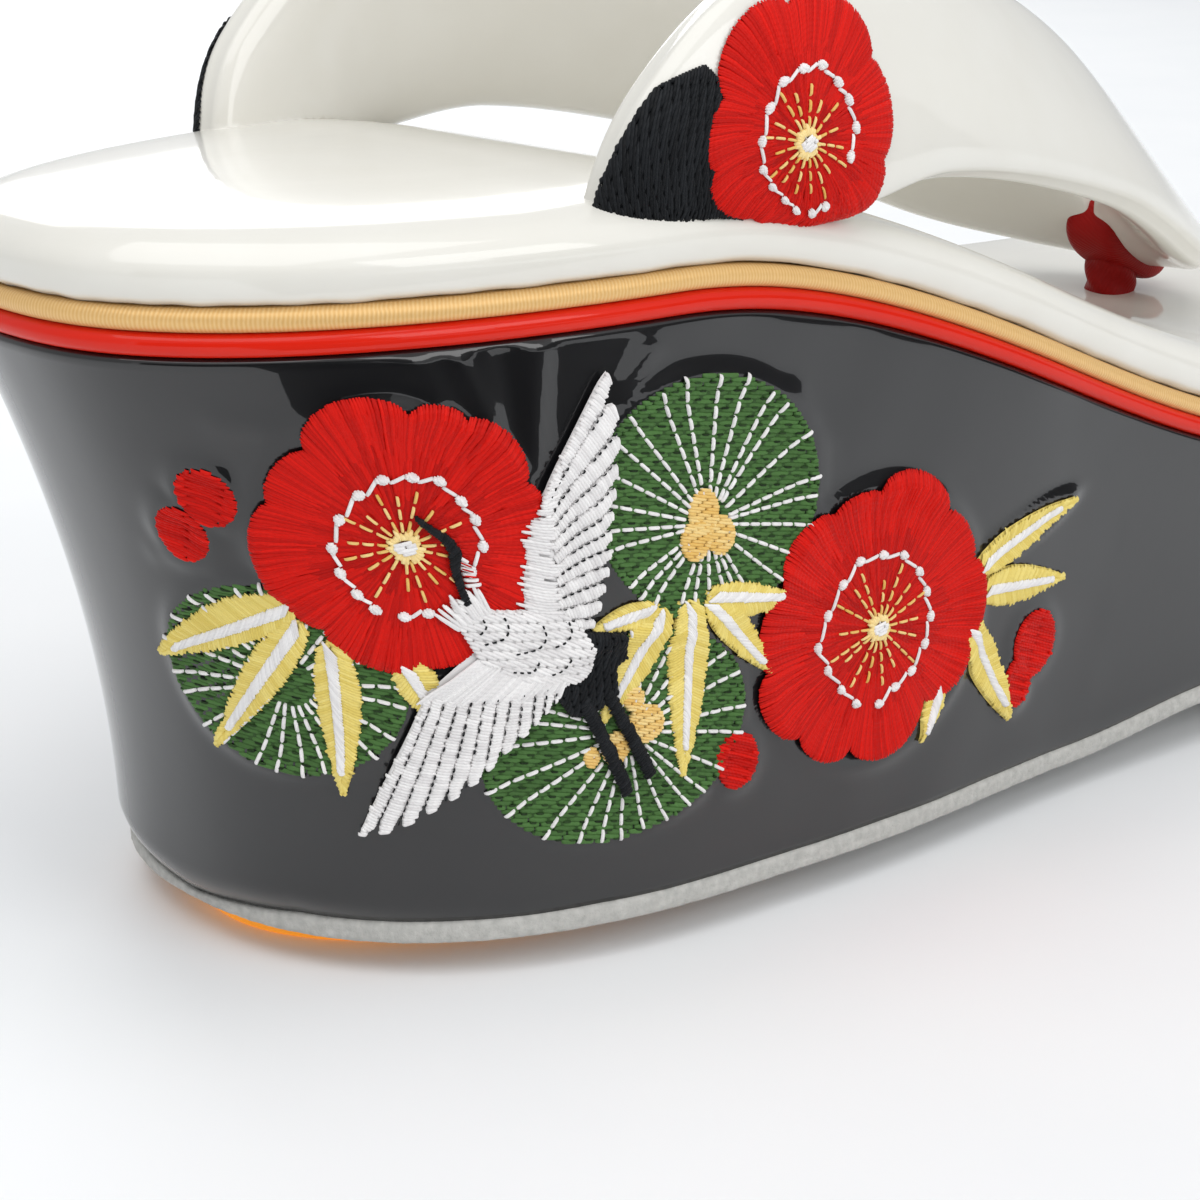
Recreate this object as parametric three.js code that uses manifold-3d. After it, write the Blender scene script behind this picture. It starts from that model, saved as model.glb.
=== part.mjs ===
// A formal zori sandal: a tall wedge platform wrapped in patent leather, two thin coloured layers,
// a padded footbed, and a padded strap held down by a toe post. Millimetres, +X to the toe, +Y to
// the left, +Z up. The origin is on the floor under the middle of the length. Distances named
// "along" are counted from the back of the heel, and "out" is counted from the middle line.

import * as THREE from 'three';
import { mergeVertices } from 'three/addons/utils/BufferGeometryUtils.js';
import Module from 'manifold-3d';

const wasm = await Module();
wasm.setup();

// Plan outline of the wall's top edge
const LENGTH = 230;
const HEEL_HALF = 36.8;
const WAIST_HALF = 40.8;
const BALL_HALF = 43.9;
const HEEL_RUN = 76;
const TOE_RUN = 66;
const HEEL_BLUNT = 2.36;
const TOE_BLUNT = 2.25;
const WIDENS_FROM = 61;
const WAIST_AT = 110;
const BALL_AT = 165;

// Side view: heel height of the wall, the fall to the forefoot and the lift of the toe
const WALL_TOP = 66.6;
const WALL_FALL = 32;
const SLOPE_FROM = 52.5;
const SLOPE_TO = 168.5;
const TOE_LIFT = 1.6;
const TOE_LIFT_FROM = 188;

// How far the wall draws in at the floor, how hollow its side is, and how it rounds in at its foot
const HEEL_INSET = 16.4;
const HEEL_SIDE_INSET = -0.8;
const WAIST_INSET = 1.5;
const TOE_INSET = 3;
const HOLLOW = 1.78;
const FOOT_TUCK = 0.12;
const TUCK_FROM = 0.94;
const WALL_LEVELS = [0, 0.14, 0.28, 0.42, 0.56, 0.7, 0.82, 0.94, 0.96, 0.98, 1];

// Sole: leather thickness, arch and toe spring; the heel stands on a rubber pad
const SOLE_THICK = 2.4;
const SOLE_OUT = 0.4;
const SOLE_CHAMFER = 0.6;
const PAD_HEIGHT = 3.8;
const PAD_MIDDLE = 52.3;
const PAD_LENGTH = 60;
const PAD_HALF = 22;
const PAD_CHAMFER = 0.8;
const PAD_STEPS = 24;
const ARCH_RISE = 3.7;
const ARCH_FROM = 117;
const ARCH_TO = 182;
const SPRING_FROM = 207;
const TOE_SPRING = 3;

// Layers above the wall
const GAP = 0.3;
const LAYER_HEIGHT = 2.3;
const LAYER_OUT = 0.6;
const LAYER_RIM_STEPS = 4;
const WALL_ROUND = 0.8;

// Footbed: each row is a ring of its padded surface, from the underside to the crown
const FOOTBED_RINGS = [
  { grow: -0.5, rise: GAP },
  { grow: 0.5, rise: 1.0 },
  { grow: 0.9, rise: 2.4 },
  { grow: 0.7, rise: 3.8 },
  { grow: -0.3, rise: 5.1 },
  { grow: -2.2, rise: 6.2 },
  { grow: -5.5, rise: 6.9 },
  { grow: -13, rise: 7.4 },
  { grow: -24, rise: 7.6 },
];

// Strap: rows from the front of the V to the end that is drawn down at the side of the heel seat.
// "across" runs from the band's lower outer edge to its upper inner edge.
const STRAP_ROWS = [
  { along: 175.5, out: 0.0, up: 54.2, across: [-0.90, 0.00, 0.45], width: 13, thick: 6.0 },
  { along: 171.5, out: 7.8, up: 57.0, across: [-0.55, -0.45, 0.55], width: 17, thick: 6.4 },
  { along: 158.0, out: 15.0, up: 64.2, across: [-0.15, -0.66, 0.66], width: 22, thick: 6.8 },
  { along: 131.0, out: 23.5, up: 77.4, across: [0.00, -0.62, 0.74], width: 25, thick: 7.2 },
  { along: 99.0, out: 30.4, up: 86.2, across: [-0.05, -0.46, 0.86], width: 25, thick: 7.4 },
  { along: 72.0, out: 34.0, up: 88.0, across: [-0.30, -0.24, 0.90], width: 24, thick: 7.4 },
  { along: 57.0, out: 33.2, up: 81.6, across: [-0.80, -0.14, 0.60], width: 19.5, thick: 7.2 },
  { along: 51.7, out: 31.2, up: 70.0, across: [-1.00, -0.20, 0.15], width: 16.5, thick: 6.8 },
];
const BAND_STEPS = 52;
const BAND_SECTION_STEPS = 16;
const BAND_BLUNT = 2.7;
const STRAP_TRIM_OUT = 8;
const STRAP_TRIM_RISE = 3.2;

// Strap tails and the toe post, which pass through the footbed
const TAIL_ALONG = 53;
const TAIL_OUT = 31.2;
const TAIL_LENGTH = 9;
const TAIL_THICK = 3.2;
const TAIL_TOP = 80;
const POST_ALONG = 174;
const POST_RADIUS = 3.6;
const POST_TOP = 54.5;
const LOOP_HALF = 4.2;
const LOOP_THICK = 1.8;
const ROUND_STEPS = 20;

// Outline points along the heel, the side and the toe of one half
const HEEL_STEPS = 12;
const SIDE_STEPS = 10;
const TOE_STEPS = 11;

const ease = (from, to, at) => THREE.MathUtils.smoothstep(at, from, to);
const mix = THREE.MathUtils.lerp;

// Height of the black wall's top edge
function wallTop(along) {
  const fall = WALL_FALL * ease(SLOPE_FROM, SLOPE_TO, along);
  const lift = TOE_LIFT * ease(TOE_LIFT_FROM, LENGTH, along);
  return WALL_TOP - fall + lift;
}

// Height of the leather sole's upper face
function soleTop(along) {
  const middle = mix(ARCH_FROM, ARCH_TO, 0.5);
  const arch = ARCH_RISE * ease(ARCH_FROM, middle, along) * (1 - ease(middle, ARCH_TO, along));
  const fall = PAD_HEIGHT * ease(ARCH_FROM, ARCH_TO, along);
  const spring = TOE_SPRING * ease(SPRING_FROM, LENGTH, along);
  return PAD_HEIGHT + SOLE_THICK + arch - fall + spring;
}

// Half width of the wall; "deep" is how far it has drawn in
function halfWidth(along, deep) {
  const waist = (WAIST_HALF - HEEL_HALF) * ease(WIDENS_FROM, WAIST_AT, along);
  const ball = (BALL_HALF - WAIST_HALF) * ease(WAIST_AT, BALL_AT, along);
  const inset = mix(HEEL_SIDE_INSET, WAIST_INSET, ease(HEEL_RUN, WAIST_AT, along));
  return HEEL_HALF + waist + ball - inset * deep;
}

// How far the wall has drawn in at a level, 0 at its top edge and 1 at the sole
function drawnIn(level) {
  const tuck = Math.max(0, (level - TUCK_FROM) / (1 - TUCK_FROM));
  return 1 - (1 - level) ** HOLLOW + FOOT_TUCK * tuck ** 2;
}

// A quarter of a superellipse, from its tip (0) to its flank (1)
function roundEnd(part, blunt) {
  const angle = part * Math.PI / 2;
  const power = 2 / blunt;
  const run = 1 - Math.max(Math.cos(angle), 0) ** power;
  const flank = Math.sin(angle) ** power;
  return { run, flank };
}

// One half of the plan outline, from the heel's back to the toe's tip
function halfOutline(deep, grow) {
  const back = HEEL_INSET * deep - grow;
  const tip = LENGTH - TOE_INSET * deep + grow;
  const toeStart = LENGTH - TOE_RUN;
  const points = [];
  for (let i = 0; i <= HEEL_STEPS; i++) {
    const { run, flank } = roundEnd(i / HEEL_STEPS, HEEL_BLUNT);
    const along = mix(back, HEEL_RUN, run);
    points.push({ along, out: (halfWidth(along, deep) + grow) * flank });
  }
  for (let i = 1; i < SIDE_STEPS; i++) {
    const along = mix(HEEL_RUN, toeStart, i / SIDE_STEPS);
    points.push({ along, out: halfWidth(along, deep) + grow });
  }
  for (let i = TOE_STEPS; i >= 0; i--) {
    const { run, flank } = roundEnd(i / TOE_STEPS, TOE_BLUNT);
    const along = mix(tip, toeStart, run);
    points.push({ along, out: (halfWidth(along, deep) + grow) * flank });
  }
  return points;
}

// One half of the heel pad's oval outline, from its back to its front
function padOutline(grow) {
  const points = [];
  for (let i = 0; i <= PAD_STEPS; i++) {
    const angle = i / PAD_STEPS * Math.PI;
    const along = PAD_MIDDLE - (PAD_LENGTH / 2 + grow) * Math.cos(angle);
    points.push({ along, out: (PAD_HALF + grow) * Math.sin(angle) });
  }
  return points;
}

// A closed skin through rings of equal count; each cap is laid across from side to side
function loft(rings) {
  const half = rings[0].points.length;
  const count = 2 * half - 2;
  const positions = [];
  const indices = [];
  for (const { points, height } of rings) {
    const right = points.map(({ along, out }) => [along - LENGTH / 2, -out, height(along)]);
    const left = points.slice(1, -1).reverse();
    positions.push(...right.flat());
    positions.push(...left.flatMap(({ along, out }) => [along - LENGTH / 2, out, height(along)]));
  }
  for (let ring = 0; ring + 1 < rings.length; ring++) {
    for (let i = 0; i < count; i++) {
      const a = ring * count + i;
      const b = ring * count + (i + 1) % count;
      indices.push(a, b, b + count, a, b + count, a + count);
    }
  }
  const cap = (start, flip) => {
    const leftOf = (i) => (count - i) % count;
    for (let i = 0; i + 1 < half; i++) {
      const corners = [i, i + 1, leftOf(i + 1), leftOf(i)].filter((c, at, all) => all.indexOf(c) === at);
      for (let c = 1; c + 1 < corners.length; c++) {
        const face = [start + corners[0], start + corners[c], start + corners[c + 1]];
        indices.push(...(flip ? face.reverse() : face));
      }
    }
  };
  cap(0, true);
  cap((rings.length - 1) * count, false);
  return bufferOf(positions, indices);
}

function bufferOf(positions, indices) {
  const geometry = new THREE.BufferGeometry();
  geometry.setAttribute('position', new THREE.Float32BufferAttribute(positions, 3));
  geometry.setIndex(indices);
  return geometry;
}

function solidOf(geometry) {
  const bare = geometry.clone();
  bare.deleteAttribute('normal');
  bare.deleteAttribute('uv');
  const merged = mergeVertices(bare);
  const vertProperties = new Float32Array(merged.getAttribute('position').array);
  const triVerts = new Uint32Array(merged.index.array);
  return new wasm.Manifold(new wasm.Mesh({ numProp: 3, vertProperties, triVerts }));
}

function geometryOf(solid) {
  const mesh = solid.getMesh();
  return bufferOf(Array.from(mesh.vertProperties), Array.from(mesh.triVerts));
}

// An upright prism with an outline that is round at both ends
function prism(along, out, length, thick, bottom, top) {
  const shape = new THREE.Shape();
  const straight = (length - thick) / 2;
  shape.absarc(straight, 0, thick / 2, -Math.PI / 2, Math.PI / 2);
  shape.absarc(-straight, 0, thick / 2, Math.PI / 2, 3 * Math.PI / 2);
  const options = { depth: top - bottom, bevelEnabled: false, curveSegments: ROUND_STEPS / 2 };
  const geometry = new THREE.ExtrudeGeometry(shape, options);
  return geometry.translate(along - LENGTH / 2, out, bottom);
}

// Leather outsole with eased edges
function outsoleGeometry() {
  const bottom = (along) => soleTop(along) - SOLE_THICK;
  const ring = (grow, height) => ({ points: halfOutline(drawnIn(1), grow), height });
  return loft([
    ring(SOLE_OUT - SOLE_CHAMFER, bottom),
    ring(SOLE_OUT, (along) => bottom(along) + SOLE_CHAMFER),
    ring(SOLE_OUT, (along) => soleTop(along) - SOLE_CHAMFER),
    ring(0, soleTop),
  ]);
}

// Rubber pad that the heel stands on
function heelPadGeometry() {
  const top = PAD_HEIGHT - GAP;
  return loft([
    { points: padOutline(-PAD_CHAMFER), height: () => 0 },
    { points: padOutline(0), height: () => PAD_CHAMFER },
    { points: padOutline(0), height: () => top },
  ]);
}

// Wedge with a hollow side that draws in under the heel
function platformGeometry() {
  const floor = (along) => soleTop(along) + GAP;
  const roof = (along) => wallTop(along) - WALL_ROUND;
  const rings = [...WALL_LEVELS].reverse().map((level) => {
    const height = (along) => mix(roof(along), floor(along), level);
    return { points: halfOutline(drawnIn(level), 0), height };
  });
  rings.push({ points: halfOutline(0, -WALL_ROUND), height: wallTop });
  return loft(rings);
}

// A thin layer with a round rim; "rise" is its underside above the wall
function layerGeometry(rise) {
  const halfHeight = (LAYER_HEIGHT - GAP) / 2;
  const middle = rise + GAP + halfHeight;
  const rings = [];
  for (let i = 0; i <= LAYER_RIM_STEPS; i++) {
    const angle = (i / LAYER_RIM_STEPS - 0.5) * Math.PI;
    const grow = LAYER_OUT - halfHeight * (1 - Math.cos(angle));
    const lift = middle + halfHeight * Math.sin(angle);
    rings.push({ points: halfOutline(0, grow), height: (along) => wallTop(along) + lift });
  }
  return loft(rings);
}

// A padded skin through rows of rings; "clear" swells it for what has to keep off it
function footbedSkin(rows, clear) {
  return loft(rows.map(({ grow, rise }) => {
    const lift = 2 * LAYER_HEIGHT + rise + clear;
    return { points: halfOutline(0, grow + clear), height: (along) => wallTop(along) + lift };
  }));
}

// Footbed with two slots for the strap's tails and a round hole for the toe post
function footbedGeometry() {
  const holes = [
    prism(TAIL_ALONG, TAIL_OUT, TAIL_LENGTH + 2 * GAP, TAIL_THICK + 2 * GAP, 0, TAIL_TOP),
    prism(TAIL_ALONG, -TAIL_OUT, TAIL_LENGTH + 2 * GAP, TAIL_THICK + 2 * GAP, 0, TAIL_TOP),
    postCylinder(POST_RADIUS + GAP, 0),
  ];
  const bed = solidOf(footbedSkin(FOOTBED_RINGS, 0));
  return geometryOf(holes.reduce((left, hole) => left.subtract(solidOf(hole)), bed));
}

function postCylinder(radius, bottom) {
  const height = POST_TOP - bottom;
  const geometry = new THREE.CylinderGeometry(radius, radius, height, ROUND_STEPS);
  geometry.rotateX(Math.PI / 2);
  return geometry.translate(POST_ALONG - LENGTH / 2, 0, bottom + height / 2);
}

// Smooth curves through the strap's rows, from the right tail round the front to the left tail
function strapCurves() {
  const right = STRAP_ROWS.slice(1).reverse().map((row) => ({ row, side: -1 }));
  const left = STRAP_ROWS.map((row) => ({ row, side: 1 }));
  const all = [...right, ...left];
  const curve = (pick) => new THREE.CatmullRomCurve3(all.map(pick), false, 'catmullrom');
  return {
    centre: curve(({ row, side }) => new THREE.Vector3(row.along - LENGTH / 2, side * row.out, row.up)),
    across: curve(({ row, side }) => new THREE.Vector3(row.across[0], side * row.across[1], row.across[2])),
    size: curve(({ row }) => new THREE.Vector3(row.width, row.thick, 0)),
  };
}

const STRAP = strapCurves();

// Points round the padded band's section at a place along the strap, swollen by "grow"
function bandRing(at, grow) {
  const centre = STRAP.centre.getPoint(at);
  const tangent = STRAP.centre.getTangent(at);
  const size = STRAP.size.getPoint(at);
  const across = STRAP.across.getPoint(at);
  across.addScaledVector(tangent, -across.dot(tangent)).normalize();
  const outward = new THREE.Vector3().crossVectors(across, tangent);
  const bulge = (value) => Math.sign(value) * Math.abs(value) ** (2 / BAND_BLUNT);
  const ring = [];
  for (let j = 0; j < BAND_SECTION_STEPS; j++) {
    const angle = j / BAND_SECTION_STEPS * 2 * Math.PI;
    const point = centre.clone();
    point.addScaledVector(across, (size.x / 2 + grow) * bulge(Math.cos(angle)));
    point.addScaledVector(outward, (size.y / 2 + grow) * bulge(Math.sin(angle)));
    ring.push(point);
  }
  return ring;
}

// A tube through rings of equal count, closed at both ends
function tube(rings) {
  const turns = rings[0].length;
  const last = (rings.length - 1) * turns;
  const positions = rings.flat().flatMap((point) => point.toArray());
  const indices = [];
  for (let start = 0; start < last; start += turns) {
    for (let j = 0; j < turns; j++) {
      const a = start + j;
      const b = start + (j + 1) % turns;
      indices.push(a, b + turns, b, a, a + turns, b + turns);
    }
  }
  for (let j = 1; j + 1 < turns; j++) {
    indices.push(0, j, j + 1);
    indices.push(last, last + j + 1, last + j);
  }
  return bufferOf(positions, indices);
}

// The whole padded band, from the right tail to the left one
function bandGeometry(grow) {
  const places = Array.from({ length: BAND_STEPS + 1 }, (_, i) => i / BAND_STEPS);
  return tube(places.map((at) => bandRing(at, grow)));
}

// Strap: the band sits on the footbed, and a flat tail goes down through each slot
function strapGeometry() {
  const skirtFoot = { grow: STRAP_TRIM_OUT, rise: -WALL_TOP / 2 };
  const skirtTop = { grow: STRAP_TRIM_OUT, rise: STRAP_TRIM_RISE };
  const seat = FOOTBED_RINGS.filter(({ rise }) => rise > STRAP_TRIM_RISE);
  const below = footbedSkin([skirtFoot, skirtTop, ...seat], GAP);
  const band = solidOf(bandGeometry(0)).subtract(solidOf(below));
  const bottom = wallTop(TAIL_ALONG) + 2 * LAYER_HEIGHT + GAP;
  const tail = (side) => solidOf(prism(TAIL_ALONG, side * TAIL_OUT, TAIL_LENGTH, TAIL_THICK, bottom, TAIL_TOP));
  return geometryOf(band.add(tail(-1)).add(tail(1)));
}

// Toe post: a stem from the footbed's hole and a sleeve that holds the front of the strap down
function toePostGeometry() {
  const bottom = wallTop(POST_ALONG) + 2 * LAYER_HEIGHT + GAP;
  const moved = (out) => bandRing(0.5, LOOP_THICK + GAP).map((point) => point.setY(point.y + out));
  const loop = solidOf(tube([moved(-LOOP_HALF), moved(LOOP_HALF)]));
  const stem = solidOf(postCylinder(POST_RADIUS, bottom));
  return geometryOf(loop.add(stem).subtract(solidOf(bandGeometry(GAP))));
}

const COLOURS = {
  cream: { color: '#f0eee6', roughness: 0.25, metalness: 0 },
  gold: { color: '#dcae62', roughness: 0.35, metalness: 0.3 },
  red: { color: '#c8321f', roughness: 0.25, metalness: 0 },
  black: { color: '#17181a', roughness: 0.12, metalness: 0 },
  leather: { color: '#b9bec2', roughness: 0.85, metalness: 0 },
  amber: { color: '#c98a35', roughness: 0.4, metalness: 0 },
};

const zori = new THREE.Group();

function addPiece(name, geometry, colour) {
  const mesh = new THREE.Mesh(geometry, new THREE.MeshStandardMaterial(COLOURS[colour]));
  mesh.name = name;
  zori.add(mesh);
}

addPiece('heel_pad', heelPadGeometry(), 'amber');
addPiece('outsole', outsoleGeometry(), 'leather');
addPiece('platform', platformGeometry(), 'black');
addPiece('red_layer', layerGeometry(0), 'red');
addPiece('gold_layer', layerGeometry(LAYER_HEIGHT), 'gold');
addPiece('footbed', footbedGeometry(), 'cream');
addPiece('strap', strapGeometry(), 'cream');
addPiece('toe_post', toePostGeometry(), 'red');

export default zori;
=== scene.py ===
"""Looks of a formal thick-soled zori sandal: patent leather wedge with edge layers, padded footbed,
padded strap with a cord post, and an embroidered side with plum, pine, bamboo and a crane.
Shapes are worked out in millimetres in the part's own frame and put into the meshes in metres."""

import bpy
import numpy as np
from mathutils import Matrix


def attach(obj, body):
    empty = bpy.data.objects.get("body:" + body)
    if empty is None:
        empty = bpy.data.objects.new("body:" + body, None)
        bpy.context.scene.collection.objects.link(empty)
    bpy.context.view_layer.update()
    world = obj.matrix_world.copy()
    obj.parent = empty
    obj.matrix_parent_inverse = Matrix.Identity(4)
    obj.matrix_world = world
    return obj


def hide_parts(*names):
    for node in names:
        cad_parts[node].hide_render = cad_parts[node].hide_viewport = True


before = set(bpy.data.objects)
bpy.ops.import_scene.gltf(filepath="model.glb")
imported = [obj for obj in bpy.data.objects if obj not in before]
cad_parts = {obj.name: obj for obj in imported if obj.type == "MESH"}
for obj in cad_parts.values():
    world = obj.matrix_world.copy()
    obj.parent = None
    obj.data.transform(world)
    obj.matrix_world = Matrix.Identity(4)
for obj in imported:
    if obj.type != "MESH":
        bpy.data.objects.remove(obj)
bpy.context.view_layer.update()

# Driving sizes of the sandal in mm, counted along from the heel's back
MM = 0.001
LENGTH = 230.0
HEEL_HALF, WAIST_HALF, BALL_HALF = 36.8, 40.8, 43.9
HEEL_RUN, TOE_RUN = 76.0, 66.0
HEEL_SHARE, TOE_SHARE = 0.34, 0.33
HEEL_BLUNT, TOE_BLUNT = 2.36, 2.25
WIDENS_FROM, WAIST_AT, BALL_AT = 61.0, 110.0, 165.0
WALL_TOP, WALL_FALL = 66.6, 32.0
SLOPE_FROM, SLOPE_TO = 52.5, 168.5
TOE_LIFT, TOE_LIFT_FROM = 1.6, 188.0
HEEL_INSET, HEEL_SIDE_INSET, WAIST_INSET, TOE_INSET = 16.4, -0.8, 1.5, 3.0
HOLLOW, FOOT_TUCK, TUCK_FROM = 1.78, 0.12, 0.94
WALL_ROUND = 0.8
SEWN_FROM, SEWN_TO = (3.0, 8.0), (126.0, 132.0)
SOLE_THICK, SOLE_OUT, SOLE_ROUGH = 2.4, 0.4, 0.07
HEEL_SKIVE, SKIVE_RUN = 1.4, 0.07
PAD_HEIGHT, PAD_CHAMFER = 3.8, 0.8
PAD_MIDDLE, PAD_LENGTH, PAD_HALF = 52.3, 60.0, 22.0
ARCH_RISE, ARCH_FROM, ARCH_TO = 3.7, 117.0, 182.0
SPRING_FROM, TOE_SPRING = 207.0, 3.0
GAP = 0.3
LAYER_HEIGHT, LAYER_OUT = 2.3, 0.6
FOOTBED_WAVE, FOOTBED_DROP = 0.14, 0.15
BAND_BLUNT, STRAP_SEAM, STRAP_SAG = 2.7, 0.3, 2.2
STRAP_TRIM_OUT, STRAP_TRIM_RISE, STRAP_TUCK = 8.0, 3.2, 1.5
POST_ALONG, POST_RADIUS, POST_TOP = 174.0, 3.6, 54.5
POST_PLIES, PLY_RELIEF, PLY_TWIST = 3, 0.25, 0.5
LOOP_HALF, LOOP_THICK = 4.2, 1.8

# How many points go round the wedge and footbed, and round the sole
ROUND_COUNT, SOLE_COUNT = 760, 900

# Footbed rim from its lower edge to its middle: how far out, how far above the gold layer
FOOTBED_RIM = np.array([
    (-0.5, 0.3), (0.5, 1.0), (0.9, 2.4), (0.7, 3.8), (-0.3, 5.1),
    (-2.2, 6.2), (-5.5, 6.9), (-13, 7.4), (-24, 7.6),
])

# Strap from the front of the V to its tail: along, out, up, the way across (3), width, thickness
STRAP_ROWS = np.array([
    (175.5, 0.0, 54.2, -0.90, 0.00, 0.45, 13, 6.0),
    (171.5, 7.8, 57.0, -0.55, -0.45, 0.55, 17, 6.4),
    (158.0, 15.0, 64.2, -0.15, -0.66, 0.66, 22, 6.8),
    (131.0, 23.5, 77.4, 0.00, -0.62, 0.74, 25, 7.2),
    (99.0, 30.4, 86.2, -0.05, -0.46, 0.86, 25, 7.4),
    (72.0, 34.0, 88.0, -0.30, -0.24, 0.90, 24, 7.4),
    (57.0, 33.2, 81.6, -0.80, -0.14, 0.60, 19.5, 7.2),
    (51.7, 31.2, 70.0, -1.00, -0.20, 0.15, 16.5, 6.8),
])

RNG = np.random.default_rng(11)


# Small tools

def ease(start, end, at):
    """Smooth step from 0 before "start" to 1 after "end"."""
    share = np.clip((at - start) / (end - start), 0, 1)
    return share * share * (3 - 2 * share)


def mix(first, last, share):
    """Straight blend of two values."""
    return first + (last - first) * share


def spline(rows, at):
    """Uniform Catmull-Rom curve through the rows, "at" 0 to 1, with each end carried on straight."""
    rows = np.asarray(rows, float)
    ends = np.vstack([2 * rows[0] - rows[1], rows, 2 * rows[-1] - rows[-2]])
    place = np.clip(np.asarray(at, float), 0, 1) * (len(rows) - 1)
    leg = np.minimum(place.astype(int), len(rows) - 2)
    t = (place - leg)[:, None]
    p0, p1, p2, p3 = (ends[leg + k] for k in range(4))
    return p1 + 0.5 * t * (p2 - p0 + t * (2 * p0 - 5 * p1 + 4 * p2 - p3 + t * (3 * (p1 - p2) + p3 - p0)))


def unit(vectors):
    """Vectors of length one along the last axis."""
    return vectors / np.maximum(np.linalg.norm(vectors, axis=-1, keepdims=True), 1e-9)


def left_of(way):
    """Flat direction a quarter turn to the left of a way."""
    return np.stack([-way[..., 1], way[..., 0]], -1)


def turned(right, up, degrees):
    """A flat place turned anticlockwise about zero: its new right and up."""
    cos, sin = np.cos(np.radians(degrees)), np.sin(np.radians(degrees))
    return right * cos - up * sin, right * sin + up * cos


def run_along(line):
    """Distance run at each point of a line, 0 at the first."""
    return np.concatenate([[0], np.cumsum(np.linalg.norm(np.diff(line, axis=0), axis=1))])


def ripple(at, waves, seed):
    """Soft irregular line between about -1 and 1: a sum of sines whose wavelengths are given in mm."""
    phases = np.random.default_rng(seed).uniform(0, 2 * np.pi, len(waves))
    return sum(np.sin(2 * np.pi * at / wave + phase) for wave, phase in zip(waves, phases)) / len(waves)


# Forms of the sandal

def wall_top(along):
    """Height of the wedge: level at the heel, one smooth fall to the ball, a slight lift at the toe."""
    fall = WALL_FALL * ease(SLOPE_FROM, SLOPE_TO, along)
    return WALL_TOP - fall + TOE_LIFT * ease(TOE_LIFT_FROM, LENGTH, along)


def sole_top(along):
    """Upper face of the outsole: on the heel pad, arched at the waist, on the floor at the ball, and
    sprung at the toe."""
    middle = (ARCH_FROM + ARCH_TO) / 2
    arch = ARCH_RISE * ease(ARCH_FROM, middle, along) * (1 - ease(middle, ARCH_TO, along))
    down = PAD_HEIGHT * ease(ARCH_FROM, ARCH_TO, along)
    return PAD_HEIGHT + SOLE_THICK + arch - down + TOE_SPRING * ease(SPRING_FROM, LENGTH, along)


def half_width(along, deep):
    """Half width of the outline: heel, waist and ball joined by smooth steps, drawn in by "deep"."""
    wide = HEEL_HALF + (WAIST_HALF - HEEL_HALF) * ease(WIDENS_FROM, WAIST_AT, along)
    wide = wide + (BALL_HALF - WAIST_HALF) * ease(WAIST_AT, BALL_AT, along)
    return wide - mix(HEEL_SIDE_INSET, WAIST_INSET, ease(HEEL_RUN, WAIST_AT, along)) * deep


def round_end(share, blunt):
    """Quarter of a superellipse: the run along and the flank across, each from 0 to 1."""
    angle = np.clip(share, 0, 1) * np.pi / 2
    return 1 - np.abs(np.cos(angle)) ** (2 / blunt), np.sin(angle) ** (2 / blunt)


def half_plan(run, deep, grow):
    """Half outline, "run" 0 at the heel's back to 1 at the toe's tip: a round heel, a side, a round toe."""
    back = HEEL_INSET * deep - grow
    tip = LENGTH - TOE_INSET * deep + grow
    heel_run, heel_flank = round_end(run / HEEL_SHARE, HEEL_BLUNT)
    toe_run, toe_flank = round_end((1 - run) / TOE_SHARE, TOE_BLUNT)
    side = (run - HEEL_SHARE) / (1 - HEEL_SHARE - TOE_SHARE)
    at_heel, at_toe = run < HEEL_SHARE, run > 1 - TOE_SHARE
    along = np.where(at_heel, mix(back, HEEL_RUN, heel_run), mix(HEEL_RUN, LENGTH - TOE_RUN, side))
    along = np.where(at_toe, mix(tip, LENGTH - TOE_RUN, toe_run), along)
    flank = np.where(at_heel, heel_flank, np.where(at_toe, toe_flank, 1.0))
    return along, (half_width(along, deep) + grow) * flank


def hollow(level):
    """How far the wall has drawn in at a level, 0 at its top and 1 at its foot, where it rounds in."""
    tuck = np.maximum(0, (level - TUCK_FROM) / (1 - TUCK_FROM))
    return 1 - (1 - level) ** HOLLOW + FOOT_TUCK * tuck ** 2


def top_plan(run, grow):
    """Half outline at the wall's top, where nothing is drawn in."""
    return half_plan(run, 0.0, grow)


def foot_plan(run, grow):
    """Half outline at the wall's foot."""
    return half_plan(run, hollow(1.0), grow)


def pad_plan(run, grow):
    """Half outline of the heel pad: half an ellipse, from its back to its front."""
    along = PAD_MIDDLE - (PAD_LENGTH / 2 + grow) * np.cos(np.pi * run)
    return along, (PAD_HALF + grow) * np.sin(np.pi * run)


def loop_run(count):
    """Places round a closed outline, heel to toe on the right and back on the left: run and side of each."""
    turn = np.arange(count) / count
    return 1 - np.abs(1 - 2 * turn), np.where(turn < 0.5, -1.0, 1.0)


def round_edge(radius, turn):
    """Profile of a rounded edge: how far in and how far down from its corner at each turn."""
    return np.stack([-radius * (1 - np.cos(turn)), -radius * (1 - np.sin(turn))], 1)


# Meshes

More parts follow.
